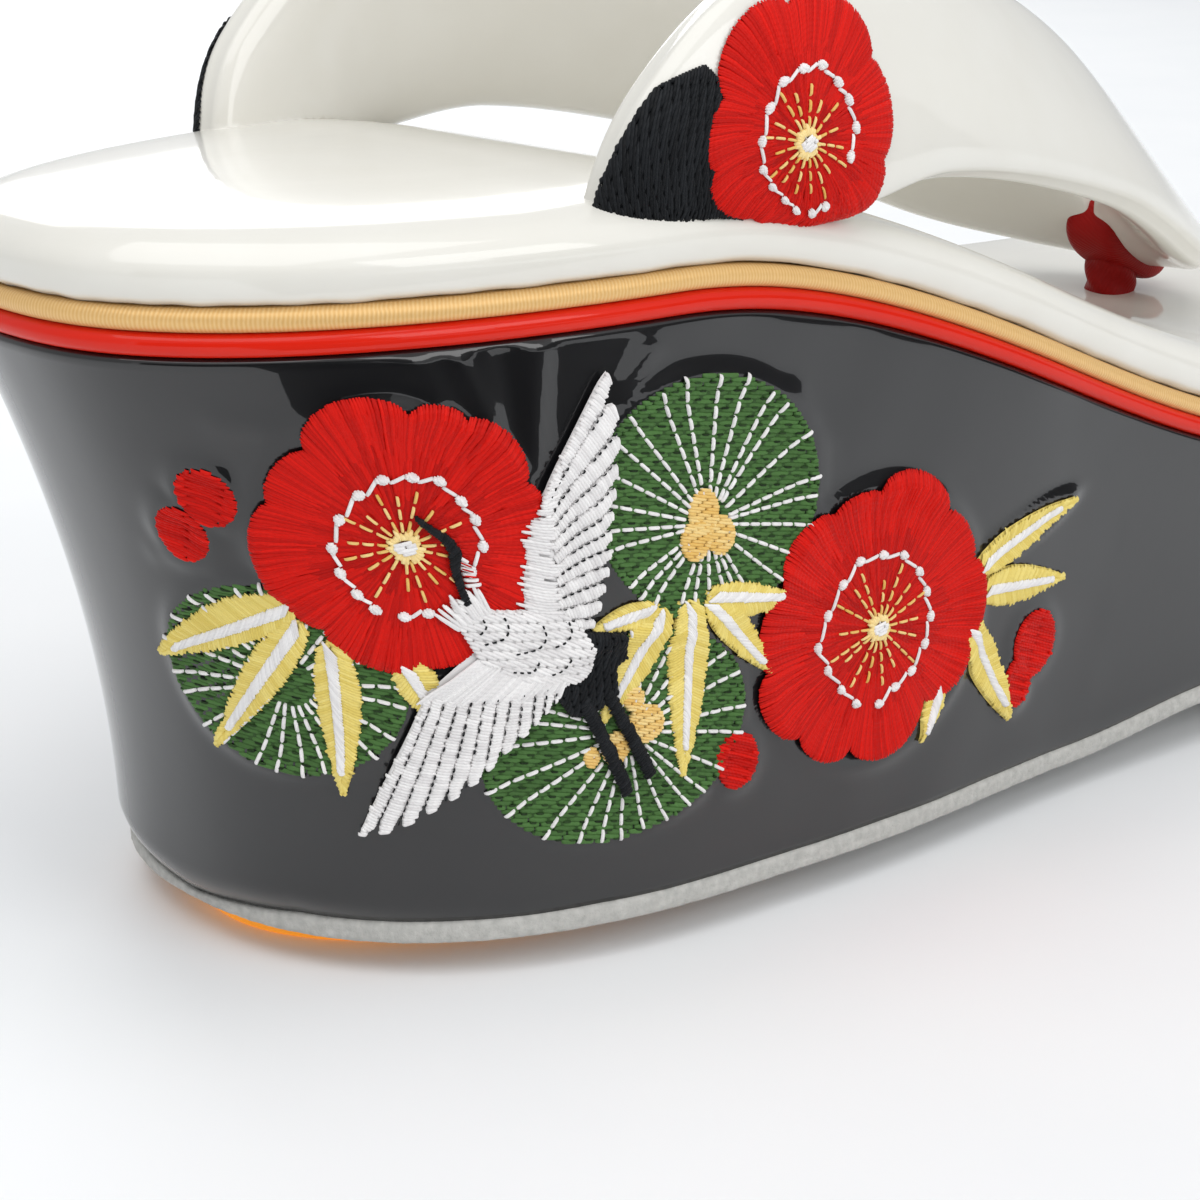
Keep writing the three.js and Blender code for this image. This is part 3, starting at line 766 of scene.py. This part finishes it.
def stamens(centre, knots, gaps, bed):
    """White knots, each a small round of five stitches with one across, joined by a thread that leaves a
    knot at its inner corner. Gold filaments of dashes run out to them, long and short in turn, from a
    pale yellow ring with a white middle."""
    out = unit(knots - centre)
    ahead = -left_of(out)
    white = []
    for shift, reach in KNOT_ROWS:
        middle = knots + ahead * shift
        white.append(sew(middle - out * reach, middle + out * reach, 0.36, bed + 0.2, 0.3))
    across = (knots - ahead * 0.4 + out * 0.2, knots + ahead * 0.45 - out * 0.2)
    white.append(sew(*across, 0.34, bed + 0.42, 0.18))
    joined = np.array([k for k in range(len(knots) - 1) if k not in gaps])
    leave = knots + ahead * 0.45 - out * 0.45
    enter = knots - ahead * 0.5 + out * 0.1
    white.append(sew(leave[joined], enter[joined + 1], 0.38, bed + 0.12, 0.22))
    ring = np.linalg.norm(knots - centre, axis=1).mean()
    gold = []
    for k, turn in enumerate(np.arange(FILAMENTS) * 360 / FILAMENTS + RNG.normal(0, 3.0, FILAMENTS)):
        reach = ring * (RNG.uniform(0.84, 0.96) if k % 2 else RNG.uniform(0.64, 0.8))
        filament = [polar(centre, 1.3, turn), polar(centre, reach, turn)]
        gold.append(running(filament, bed=bed + 0.12, **FILAMENT_DASHES))
    turns = np.arange(0, 360, 12.0)
    tips = polar(centre, 1.6 + RNG.uniform(-0.3, 0.4, len(turns)), turns)
    gold.append(sew(polar(centre, 0.6, turns), tips, 0.42, bed + 0.18, 0.2, (0.7, 1.0)))
    white.append(tatami(ellipse(*centre, 1.15, 0.75, 0), bed=bed + 0.44, **MIDDLE_FILL))
    return white, gold


# Pines: disc, hub of the needles and how many there are; cones as discs
PINES = ((PINE_UPPER, (64.6, 45.0), 27), (PINE_LOWER, (53.0, 24.8), 26), (PINE_LEFT, (18.7, 33.0), 24))
CONES = (
    (64.2, 46.4, 1.9, 2.4, -8), (63.0, 43.6, 1.9, 2.2, -10), (66.1, 43.6, 1.9, 2.1, 10),
    (55.3, 25.3, 2.3, 2.1, 0), (51.5, 23.3, 1.8, 1.7, 30), (54.0, 28.2, 1.4, 1.3, 0),
    (48.6, 22.7, 1.0, 1.1, 0),
)


def pine_needles(disc, hub, count, bed):
    """Running-stitch needles from the hub out over the disc's edge, at nearly even angles."""
    turns = np.arange(count) * 360 / count + RNG.normal(0, 2.2, count)
    edge = ellipse(*disc, count=360) - hub
    way = np.degrees(np.arctan2(edge[:, 1], edge[:, 0])) % 360
    order = np.argsort(way)
    reach = np.hypot(*edge.T)[order]
    radius = np.interp(turns % 360, way[order], reach, period=360) * RNG.uniform(0.985, 1.045, count)
    rows = []
    for turn, far in zip(turns, radius):
        needle = [polar(hub, 2.6, turn), polar(hub, far, turn)]
        rows.append(running(needle, bed=bed, **NEEDLE_DASHES))
    return rows


# Bamboo leaves: base, tip, and half widths to the left and right of the way from base to tip
LEAVES = np.array([
    (21.6, 41.4, 4.5, 34.1, 1.9, 3.0), (21.8, 39.8, 9.2, 24.7, 2.0, 2.1),
    (23.9, 37.6, 22.2, 20.9, 2.5, 2.1), (30.4, 35.6, 33.0, 28.6, 2.1, 2.1),
    (57.5, 37.6, 50.0, 36.4, 1.3, 1.3), (58.4, 37.4, 50.0, 26.3, 2.4, 2.5),
    (61.6, 37.6, 59.7, 18.6, 2.7, 2.5), (63.6, 37.2, 72.2, 27.4, 2.3, 1.8),
    (63.8, 37.4, 75.6, 35.2, 1.6, 2.4), (103.4, 32.6, 119.8, 37.8, 2.0, 2.1),
    (104.4, 29.8, 119.5, 28.3, 2.4, 2.3), (102.6, 26.4, 110.8, 13.1, 2.5, 2.4),
    (98.6, 20.4, 95.4, 14.2, 1.1, 1.5),
])
LEAF_BROAD = 0.35
RIB_END = 34


def leaf_threads(leaf, bed):
    """A leaf, broad at a third of its length and drawn out to a point: slanted satin from the midrib to
    each edge, and a tapering white midrib of long slanted stitches. Returns these and its outline."""
    shares = np.linspace(0, 1, 40)
    base, tip = leaf[0:2], leaf[2:4]
    side = left_of(unit(tip - base))
    full = 0.55 + 0.45 * np.sin(np.pi / 2 * np.clip(shares / LEAF_BROAD, 0, 1))
    full = full * (1 - 0.9 * np.clip((shares - LEAF_BROAD) / (1 - LEAF_BROAD), 0, 1) ** 1.7)
    rib = base + (tip - base) * shares[:, None]
    left, right = rib + side * (leaf[4] * full)[:, None], rib - side * (leaf[5] * full)[:, None]
    blades = [satin(rib, edge, bed=bed, **BLADE_SATIN) for edge in (left, right)]
    half = mix(0.62, 0.3, shares[:RIB_END])[:, None] * side
    white = satin(rib[:RIB_END] - half, rib[:RIB_END] + half, bed=bed + 0.2, **RIB_SATIN)
    return blades, white, np.vstack([left, right[::-1]])


# Crane wings: tips of the feathers, ends of the line that their roots stand on, both edges of the coverts
UPPER_WING = (
    [(55.3, 62.5), (55.5, 58.6), (55.2, 55.5), (54.7, 52.6), (54.2, 50.3), (53.6, 48.1),
     (52.9, 46.2), (52.5, 44.3), (52.1, 42.5), (51.7, 40.8), (51.0, 38.8), (49.9, 37.0)],
    [(46.4, 50.6), (46.3, 37.4)],
    [(42.8, 39.6), (44.0, 45.5), (45.3, 49.4), (48.0, 53.0)],
    [(46.6, 37.2), (46.6, 44.3), (47.2, 49.2), (48.6, 52.4)],
)
LOWER_WING = (
    [(23.4, 16.3), (25.7, 16.5), (28.2, 17.5), (30.8, 18.9), (33.2, 20.2), (35.3, 21.8),
     (37.2, 23.4), (39.3, 24.9), (41.3, 26.4), (42.7, 27.5), (43.9, 28.6), (45.0, 29.6)],
    [(32.2, 31.9), (46.2, 31.9)],
    [(31.2, 31.4), (34.5, 30.4), (40.0, 30.4), (46.0, 30.6)],
    [(37.4, 36.0), (39.0, 35.0), (42.0, 34.0), (46.5, 32.6)],
)
CRANE_BODY = [
    (36.0, 41.7), (37.8, 41.5), (40.1, 40.1), (42.6, 39.8), (45.2, 39.1), (47.2, 38.6), (48.9, 36.5),
    (49.6, 34.5), (49.1, 32.2), (47.7, 31.2), (45.9, 31.4), (42.0, 32.4), (39.7, 33.8), (37.7, 35.1),
    (37.0, 36.9), (36.0, 39.4),
]
CRANE_SCALES = (
    [(40.7, 39.6), (41.0, 38.2), (40.2, 37.2), (38.2, 36.8)],
    [(44.3, 38.3), (44.6, 36.8), (43.6, 35.7), (41.1, 35.5)],
    [(43.6, 34.4), (42.6, 33.4), (40.6, 33.6)],
    [(47.1, 38.2), (47.3, 36.8), (46.4, 35.9), (45.2, 35.6)],
    [(46.8, 34.4), (45.8, 33.2), (44.4, 32.8)],
    [(38.6, 39.6), (38.9, 38.6), (38.0, 37.8)],
)
CRANE_TAIL = [
    (48.8, 36.6), (53.2, 35.8), (53.3, 32.9), (52.0, 32.1), (51.9, 29.3), (49.8, 28.0), (48.3, 27.4),
    (46.5, 27.6), (45.2, 29.7), (45.6, 31.2), (47.9, 31.4), (49.2, 32.6),
]
CRANE_LEGS = np.array([[(47.9, 29.4), (52.3, 18.4)], [(50.6, 29.8), (55.2, 19.8)]])
LEG_HALF = 0.78

# Neck and bill: middle line and half width. Ruff, cheek and its red marks: line of starts, line of ends
CRANE_NECK = [
    (34.5, 50.6, 0.2), (35.6, 49.3, 0.32), (36.9, 47.8, 0.55), (37.4, 46.6, 0.6), (37.1, 45.0, 0.4),
    (37.2, 43.2, 0.38), (37.6, 41.2, 0.42),
]
CRANE_RUFF = [(36.4, 38.4), (39.6, 39.8)], [(34.4, 40.6), (38.7, 42.7)]
CRANE_CHEEK = [(37.5, 46.2), (37.7, 43.0)], [(38.5, 45.3), (39.3, 43.0)]
CHEEK_MARKS = [(37.6, 45.6), (37.8, 43.8)], [(38.7, 44.9), (39.0, 43.6)]


def between(points):
    """Places halfway between neighbours, with a short step on past the first and the last."""
    middle = (points[:-1] + points[1:]) / 2
    first = points[0] + 0.4 * (points[0] - middle[0])
    last = points[-1] + 0.4 * (points[-1] - middle[-1])
    return np.vstack([first, middle, last])


def feathers(tips, roots, bed):
    """Feathers of a wing: lines from between the roots to between the tips part it into fields. Each field
    is satin from one line to the next, rounded off at the tip, and broken dark pricks mark the lines."""
    tips = np.array(tips)
    root = along_edge(roots, np.linspace(0, 1, len(tips)))
    root_line, tip_line = between(root), between(tips)
    stations = np.linspace(0, 1, 24)[:, None]
    close = 0.5 * np.clip((stations - 0.86) / 0.14, 0, 1) ** 2
    white, dark, outlines = [], [], []
    for k in range(len(tips)):
        spine = mix(root[k], tips[k], stations)
        left, right = (mix(mix(root_line[j], tip_line[j], 0.95 * stations), spine, close) for j in (k, k + 1))
        white.append(satin(left, right, bed=bed, ragged=0.06 if k else 0.12, **FEATHER_SATIN))
        outlines.append((np.vstack([left, right[::-1]]), bed - 0.1))
    for k in range(1, len(tips)):
        seam = mix(root_line[k], tip_line[k], np.array([[0.08], [0.95]]))
        pricks = running(seam, bed=bed + 0.18, **SEAM_DASHES)
        dark.append(pricks[RNG.random(len(pricks)) < 0.7] + RNG.normal(0, 0.02, 8))
    return white, dark, outlines


def neck_edges():
    """Both edges of the crane's black neck and bill: the middle line moved out by its half width."""
    shares = np.linspace(0, 1, 60)
    neck = np.array(CRANE_NECK)
    line = spline(neck[:, :2], shares)
    half = np.interp(shares, np.linspace(0, 1, len(neck)), neck[:, 2])
    side = left_of(unit(np.gradient(line, axis=0))) * half[:, None]
    return line + side, line - side


def sew_plants(sewn, pads):
    """Pines with a green ground, dark pricks, needles and cones, then leaves, buds and plum blossoms."""
    for disc, hub, count in PINES:
        outline = ellipse(*disc)
        sewn["green"] += [tatami(outline, **PINE_FILL), tatami(outline, **PINE_PRICKS)]
        pads["green"].append((outline, 0.12))
        sewn["white"] += pine_needles(disc, np.array(hub), count, 0.3)
    for cone in CONES:
        sewn["gold"].append(tatami(ellipse(*cone), **CONE_FILL))
    for row in LEAVES:
        blades, rib, outline = leaf_threads(row, 0.5)
        sewn["leaf"] += blades
        sewn["white"].append(rib)
        pads["leaf"].append((outline, 0.42))
    for bud in BUDS:
        outline = ellipse(*bud)
        sewn["red"].append(tatami(outline, **BUD_FILL))
        pads["red"].append((outline, 0.25))
    for centre, lobes, count, knots, gaps in (
        (PLUM_LEFT, PLUM_LEFT_LOBES, 372, PLUM_LEFT_KNOTS, PLUM_LEFT_GAPS),
        (PLUM_RIGHT, PLUM_RIGHT_LOBES, 432, PLUM_RIGHT_KNOTS, PLUM_RIGHT_GAPS),
    ):
        sewn["red"].append(plum_threads(centre, lobes, count, 0.7))
        pads["red"].append((plum_outline(centre, lobes), 0.62))
        marks, dashes = stamens(centre, knots, gaps, 0.75)
        sewn["white"] += marks
        sewn["gold"] += dashes


def sew_crane(sewn, pads):
    """Crane over the plants: wings with coverts, body with dark scales, ruff, neck, cheek, tail and legs."""
    white, black = sewn["white"], sewn["black"]
    for tips, roots, fore, rear in (UPPER_WING, LOWER_WING):
        bands, pricks, outlines = feathers(tips, roots, 1.0)
        white += bands
        black += pricks
        white.append(satin(fore, rear, **COVERT_SATIN))
        pads["white"] += outlines + [(np.vstack([fore, rear[::-1]]), 0.95)]
    white.append(tatami(CRANE_BODY, **BODY_FILL))
    pads["white"].append((CRANE_BODY, 1.12))
    for scale in CRANE_SCALES:
        black.append(running(spline(scale, np.linspace(0, 1, 20)), **SCALE_DASHES))
    starts, ends = (along_edge(line, np.linspace(0, 1, 16)) for line in CRANE_RUFF)
    white.append(sew(starts, ends + RNG.normal(0, 0.35, ends.shape), 0.4, 1.3))
    black.append(satin(*neck_edges(), **NECK_SATIN))
    cheek = np.linspace(0, 1, 6)
    white.append(sew(*(along_edge(line, cheek) for line in CRANE_CHEEK), 0.4, 1.15))
    sewn["red"].append(sew(*(along_edge(line, cheek[::2]) for line in CHEEK_MARKS), 0.16, 1.32, 0.14))
    black.append(tatami(CRANE_TAIL, **TAIL_FILL))
    pads["black"].append((CRANE_TAIL, 0.92))
    for leg in CRANE_LEGS:
        side = left_of(unit(leg[1] - leg[0])) * LEG_HALF
        black.append(satin(leg + side, leg - side, **LEG_SATIN))


def embroider_wall():
    """Sews every motif of the side, from the lowest layer to the top one, one mesh for each thread."""
    sewn, pads = ({name: [] for name in THREADS} for _ in range(2))
    sew_plants(sewn, pads)
    sew_crane(sewn, pads)
    return stitched("side", sewn, pads, on_wall)


# Pieces of the sandal

def heel_pad():
    """Rubber pad: rings of its outline with a rounded lower edge."""
    top = PAD_HEIGHT - 0.02
    edge = round_edge(PAD_CHAMFER, np.linspace(0, np.pi / 2, 6)) * np.array([1, -1])
    profile = np.vstack([[(-0.4, top), (0, top - 0.3), (0, 2.4)], edge])
    return skin("rubber_heel_pad", rings(profile, pad_plan, np.zeros_like, 320), AMBER_RUBBER)


def skived(run):
    """How much the sole is pared at the heel's back: most at its middle, nothing a short way round."""
    return HEEL_SKIVE * (1 - np.clip(run / SKIVE_RUN, 0, 1))


def outsole():
    """Leather sole, pared at the heel's back. Its cut edge is a little uneven, with rounded corners."""
    profile = np.array([
        (-0.6, 0.0), (0.0, -0.01), (0.25, -0.07), (SOLE_OUT, -0.2), (SOLE_OUT, -0.4), (SOLE_OUT, -0.6),
        (SOLE_OUT, -0.8), (0.25, -0.93), (0.0, -0.99), (-0.8, -1.0),
    ]) * np.array([1, SOLE_THICK])
    grid = rings(profile, foot_plan, sole_top, SOLE_COUNT)
    grid[..., 2] -= skived(loop_run(SOLE_COUNT)[0]) * (1 + np.minimum(profile[:, 1:], 0) / SOLE_THICK)
    row = np.arange(len(profile))
    place = 0.6 * (np.arange(SOLE_COUNT)[None, :] + row[:, None])
    rough = SOLE_ROUGH * ripple(place, (2.3, 3.7, 6.1, 1.7, 11.0), 4)
    rough = rough * ease(0, 1.5, np.minimum(row, row[::-1]))[:, None]
    return skin("leather_outsole", grid + grid_normals(grid) * rough[..., None], SPLIT_LEATHER)


def platform():
    """Wedge: rings from its rounded top edge down the hollow wall, worked by the sewing on the right side."""
    level = np.linspace(0, 1, 92)[:, None]
    run, side = loop_run(ROUND_COUNT)
    along, out = half_plan(run[None, :], hollow(level), 0.0)
    height = mix(wall_top(along) - WALL_ROUND, sole_top(along) - skived(run), level)
    wall = np.stack([along - LENGTH / 2, side * out, height], -1)
    a = np.interp(run, RUN_SHARES, RUN_MM)[None, :]
    sewn = pucker(a, height) * (side < 0) * ease(*SEWN_FROM, a) * (1 - ease(*SEWN_TO, a))
    wall = wall + grid_normals(wall) * sewn[..., None]
    edge = round_edge(WALL_ROUND, np.linspace(np.pi / 2, 0, 6)[:-1])
    lip = rings(edge, top_plan, wall_top, ROUND_COUNT)
    return skin("patent_wedge", np.vstack([lip, wall]), BLACK_PATENT)


def layer(name, rise, material, count):
    """Thin layer with a full round rim: half a circle from its top to its underside."""
    half = LAYER_HEIGHT / 2
    turn = np.linspace(np.pi / 2, -np.pi / 2, 15)
    round_rim = np.stack([LAYER_OUT - half * (1 - np.cos(turn)), rise + half + half * np.sin(turn)], 1)
    return skin(name, rings(round_rim, top_plan, wall_top, count), material)


def footbed():
    """Padded footbed: the rim's profile carried round the outline. Its lower edge is drawn down a little
    and waves slightly, as leather does where it is lasted under."""
    profile = spline(FOOTBED_RIM, np.linspace(1, 0, 44))
    grid = rings(profile + np.array([0, 2 * LAYER_HEIGHT]), top_plan, wall_top, ROUND_COUNT)
    wave = FOOTBED_WAVE * ripple(np.arange(ROUND_COUNT) * 0.75, (9.0, 17.0, 31.0, 6.0), 8)
    low = 1 - ease(0.3, 2.2, profile[:, 1])
    grid[..., 2] += low[:, None] * (wave[None, :] - FOOTBED_DROP)
    return skin("padded_footbed", grid, CREAM_PATENT)


STRAP_LINE = np.vstack([STRAP_ROWS[:0:-1] * np.array([1, -1, 1, 1, -1, 1, 1, 1]), STRAP_ROWS])


def strap_frame(at):
    """Middle, way across, way in, width and thickness of the strap at places from its right tail to its
    left one."""
    rows = spline(STRAP_LINE, at)
    middle = rows[:, 0:3] - np.array([LENGTH / 2, 0, 0])
    before, after = (spline(STRAP_LINE, np.clip(at + step, 0, 1))[:, 0:3] for step in (-1e-4, 1e-4))
    ahead = unit(after - before)
    across = rows[:, 3:6]
    across = unit(across - ahead * (across * ahead).sum(1, keepdims=True))
    return middle, across, np.cross(across, ahead), rows[:, 6], rows[:, 7]


STRAP_SHARES = np.linspace(0, 1, 1200)
STRAP_MM = run_along(strap_frame(STRAP_SHARES)[0])


def band(at, angle, grow=0.0):
    """Points of the strap at places along it and angles round its section, a superellipse swollen by
    "grow". Its lower edge sags a little where it leaves the footbed."""
    at, angle, grow = np.broadcast_arrays(at, angle, grow)
    middle, across, inward, width, thick = strap_frame(at.ravel())
    cos, sin, grow = np.cos(angle).ravel(), np.sin(angle).ravel(), grow.ravel()
    reach = np.interp(np.minimum(at, 1 - at).ravel(), STRAP_SHARES, STRAP_MM)
    sag = STRAP_SAG * ease(8, 22, reach) * (1 - ease(30, 50, reach)) * (cos < 0)
    flat = (width / 2 + grow + sag) * np.sign(cos) * np.abs(cos) ** (2 / BAND_BLUNT)
    puff = (thick / 2 + grow) * np.sign(sin) * np.abs(sin) ** (2 / BAND_BLUNT)
    return (middle + across * flat[:, None] + inward * puff[:, None]).reshape(*at.shape, 3)


PLAN_LINE = np.stack(top_plan(RUN_SHARES, 0.0), 1)


def seat_rise(inset):
    """Height above the gold layer where the strap rests: the footbed's skin, and a level trim outside."""
    rim = np.vstack([(STRAP_TRIM_OUT, STRAP_TRIM_RISE), FOOTBED_RIM[3:]])
    return np.interp(inset, -rim[:, 0], rim[:, 1])


def rest_on_footbed(points):
    """Lifts what lies below the footbed's skin onto it. What hangs over the rim is tucked in under the
    strap, so that its lower edge comes out round."""
    along = points[..., 0] + LENGTH / 2
    half = np.interp(along, PLAN_LINE[:, 0], PLAN_LINE[:, 1])
    base = wall_top(along) + 2 * LAYER_HEIGHT - 0.15
    inset = half - np.abs(points[..., 1])
    lift = base + seat_rise(inset) - points[..., 2]
    tucked = np.maximum(inset, mix(inset, STRAP_TUCK, ease(0.3, 3.0, lift)))
    rested = points.copy()
    rested[..., 1] = np.sign(points[..., 1]) * (half - tucked)
    rested[..., 2] = np.maximum(points[..., 2], base + seat_rise(tucked))
    return rested


def strap():
    """Padded strap: its section carried round the V, nipped along both edges where face meets lining."""
    at = np.linspace(0, 1, 420)
    angle = np.linspace(0, 2 * np.pi, 64, endpoint=False)
    seam = np.exp(-((np.abs(np.sin(angle)) / 0.1) ** 2))
    grid = rest_on_footbed(band(at[:, None], angle[None, :], -STRAP_SEAM * seam[None, :]))
    return skin("padded_strap", grid, CREAM_PATENT)


def toe_post():
    """Cord post: a soft sleeve straight across the front of the strap and a stem down into the footbed."""
    share = np.linspace(-1, 1, 25)[:, None]
    angle = np.linspace(0, 2 * np.pi, 48, endpoint=False)[None, :]
    loop = band(0.5, angle, mix(-1.0, LOOP_THICK, (1 - share ** 6) ** 0.5))
    loop = loop + (share * LOOP_HALF)[..., None] * np.array([0, 1, 0])
    low = wall_top(POST_ALONG) + 2 * LAYER_HEIGHT + GAP
    height = np.linspace(POST_TOP, low, 40)[:, None]
    turn = np.linspace(0, 2 * np.pi, 40, endpoint=False)[None, :]
    cord = POST_RADIUS - PLY_RELIEF + PLY_RELIEF * np.cos(POST_PLIES * (turn + height * PLY_TWIST))
    x, y = POST_ALONG - LENGTH / 2 + cord * np.cos(turn), cord * np.sin(turn)
    stem = np.stack([x, y, height + 0 * x], -1)
    return skin("post_sleeve", loop, RED_CORD, lids=False), skin("post_stem", stem, RED_CORD)


# Embroidered strap ends: places are mm from the tail, and mm across the outer face, upward from its middle

SECTION_ANGLES = np.linspace(-1.5 * np.pi, 0.5 * np.pi, 801)
SECTION_MM = run_along(band(np.full(801, 0.16), SECTION_ANGLES))
SECTION_MM = SECTION_MM - np.interp(-0.5 * np.pi, SECTION_ANGLES, SECTION_MM)
STRAP_PLUM = np.array([22.8, -5.5])
STRAP_GROUND = np.array([
    (5.5, -1), (7, -3), (8, -6.5), (9, -10.2), (12, -12.4), (16, -13.8), (20, -14.9), (27, -16.4),
    (29, -12), (22, -4), (18, 1), (17, 9), (13, 12), (7, 13), (4, 13),
])
STRAP_FOOT = np.array([
    (5.5, 2.0), (7, -2.2), (9, -10.1), (12, -12.2), (16, -13.5), (20, -14.7), (24, -15.7),
    (28, -17.0), (36, -19.0),
])


def above_foot(rows):
    """Stitches of the strap without those that lie past its foot line, and with the others ended at it."""
    foot_start, foot_end = (np.interp(rows[:, k], *STRAP_FOOT.T) for k in (0, 2))
    kept = np.maximum(rows[:, 1] - foot_start, rows[:, 3] - foot_end) > 0.4
    rows = rows.copy()
    rows[:, 1], rows[:, 3] = np.maximum(rows[:, 1], foot_start), np.maximum(rows[:, 3], foot_end)
    return rows[kept]


def on_right_strap(place, height):
    """Points at a height off the right arm's skin, rested on the footbed like the strap itself."""
    at = np.interp(place[..., 0], STRAP_MM, STRAP_SHARES)
    angle = np.interp(place[..., 1], SECTION_MM, SECTION_ANGLES)
    return rest_on_footbed(lifted(band, at, angle, (0.004, 0.02), height))


def on_left_strap(place, height):
    """The same points on the left arm, as in a mirror."""
    return on_right_strap(place, height) * np.array([1, -1, 1])


def embroider_strap(where, place, turn):
    """The end of one arm: a black ground of slanted satin, and a plum blossom that wraps its lower edge."""
    centre = STRAP_PLUM
    outline = plum_outline(centre, PLUM_LEFT_LOBES)
    outline[:, 1] = np.maximum(outline[:, 1], np.interp(outline[:, 0], *STRAP_FOOT.T))
    ground = along_edge(np.vstack([STRAP_GROUND, STRAP_GROUND[:1]]), np.linspace(0, 1, 90, endpoint=False))
    white, gold = stamens(centre, PLUM_LEFT_KNOTS - PLUM_LEFT + centre, PLUM_LEFT_GAPS, 0.6)
    sewn = {
        "black": [above_foot(tatami(STRAP_GROUND, **GROUND_FILL))],
        "red": [above_foot(plum_threads(centre, PLUM_LEFT_LOBES, 372, 0.55))],
        "white": white,
        "gold": gold,
    }
    return stitched(where, sewn, {"black": [(ground, 0.22)], "red": [(outline, 0.48)]}, place, turn)


pieces = {
    "heel_pad": ("heel_rubber", [heel_pad()]),
    "outsole": ("sole_leather", [outsole()]),
    "platform": ("black_patent", [platform()]),
    "red_layer": ("red_patent", [layer("red_layer_rim", 0.0, RED_PATENT, 600)]),
    "gold_layer": ("gold_leather", [layer("gold_layer_rim", LAYER_HEIGHT, GOLD_FOIL, 900)]),
    "footbed": ("cream_patent", [footbed()]),
    "strap": ("cream_patent", [strap()]),
    "toe_post": ("red_cord", list(toe_post())),
}
for node, (slot, group) in pieces.items():
    for piece in group:
        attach(piece, "root")
        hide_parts(node)
sewn_pieces = embroider_wall()
sewn_pieces += embroider_strap("right_strap", on_right_strap, 1)
sewn_pieces += embroider_strap("left_strap", on_left_strap, -1)
for piece in sewn_pieces:
    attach(piece, "root")


# Stage

# Camera fitted to the photo: place in mm, yaw from +X, pitch and roll in degrees, focal length in mm
CAMERA_PLACE = np.array([-248.8, -216.87, 122.95])
CAMERA_TURNS = (45.851, -18.193, 0.387)
FOCAL, SENSOR = 81.82, 36.0
FLOOR_REACH = 3000.0


def sheet(name, corners, material):
    """A flat sheet with four corners in mm."""
    return add_mesh(name, np.array(corners, float), np.array([[0, 1, 2, 3]]), material)


def floor():
    """A wide pale floor of matt acrylic, which shows only a soft shadow of what stands on it."""
    finish = {"Roughness": 0.6, "IOR": 1.49, "Specular IOR Level": 0.2}
    material = mottled("white_acrylic_sheet", finish, "#eef0f2", "#f4f5f6", 40.0)[0]
    corners = [(x * FLOOR_REACH, y * FLOOR_REACH, 0) for x, y in ((-1, -1), (1, -1), (1, 1), (-1, 1))]
    return sheet("studio_floor", corners, material)


def flag(name, corners):
    """A black velvet card that only reflections see: it gives the patent leather its dark zones."""
    pile = {"Roughness": 0.95, "Specular IOR Level": 0.0}
    card = sheet(name, corners, mottled("black_velvet", pile, "#040404", "#070707", 5.0)[0])
    card.visible_camera = card.visible_diffuse = card.visible_shadow = card.visible_transmission = False


def set_up(name, data, place, right, up, back):
    """Puts a lamp or camera at a place in metres, with its own right, up and back directions."""
    thing = bpy.data.objects.new(name, data)
    bpy.context.scene.collection.objects.link(thing)
    thing.matrix_world = Matrix([[right[k], up[k], back[k], place[k]] for k in range(3)] + [[0, 0, 0, 1]])
    return thing


def area_light(name, place, aim, size, power):
    """A soft square light at a place in metres, turned to an aim."""
    lamp = bpy.data.lights.new(name, "AREA")
    lamp.size, lamp.energy = size, power
    back = unit(np.array(place) - np.array(aim))
    right = unit(np.cross((0, 0, 1), back) + np.array([1e-6, 0, 0]))
    set_up(name, lamp, place, right, np.cross(back, right), back)


def camera():
    """The photo's view: forward by yaw and pitch, then rolled about it."""
    yaw, pitch, roll = np.radians(CAMERA_TURNS)
    forward = np.array([np.cos(pitch) * np.cos(yaw), np.cos(pitch) * np.sin(yaw), np.sin(pitch)])
    level = np.array([np.sin(yaw), -np.cos(yaw), 0])
    upright = np.cross(level, forward)
    right = level * np.cos(roll) + upright * np.sin(roll)
    up = upright * np.cos(roll) - level * np.sin(roll)
    lens = bpy.data.cameras.new("camera")
    lens.lens, lens.sensor_width, lens.sensor_fit = FOCAL, SENSOR, "HORIZONTAL"
    lens.clip_start = 0.01
    bpy.context.scene.camera = set_up("camera", lens, CAMERA_PLACE * MM, right, up, -forward)


floor()
flag("flag_on_floor", [(116, -322, 1), (-129, -77, 1), (-607, -555, 1), (-362, -800, 1)])
flag("flag_by_camera", [(-200, -1100, 5), (-1100, -200, 5), (-1100, -200, 500), (-200, -1100, 500)])
flag("flag_at_right", [(100, -1100, 5), (1400, -700, 5), (1400, -700, 420), (100, -1100, 420)])
area_light("overhead_softbox", (-0.4, -0.2, 1.5), (0, 0, 0), 1.6, 14.5)
area_light("front_softbox", (0.15, -1.4, 0.8), (0, 0, 0.03), 0.9, 7.0)
area_light("low_softbox", (-1.3, -0.4, 0.3), (-0.07, -0.02, 0.01), 0.5, 0.3)
area_light("back_softbox", (0.5, 0.9, 0.5), (-0.06, 0, 0), 0.6, 2.5)
world = bpy.data.worlds.new("studio")
world.use_nodes = True
sky = world.node_tree.nodes["Background"]
sky.inputs["Color"].default_value = linear("#f4f6f8")
sky.inputs["Strength"].default_value = 0.58
bpy.context.scene.world = world
bpy.context.scene.view_settings.view_transform = "Standard"
camera()
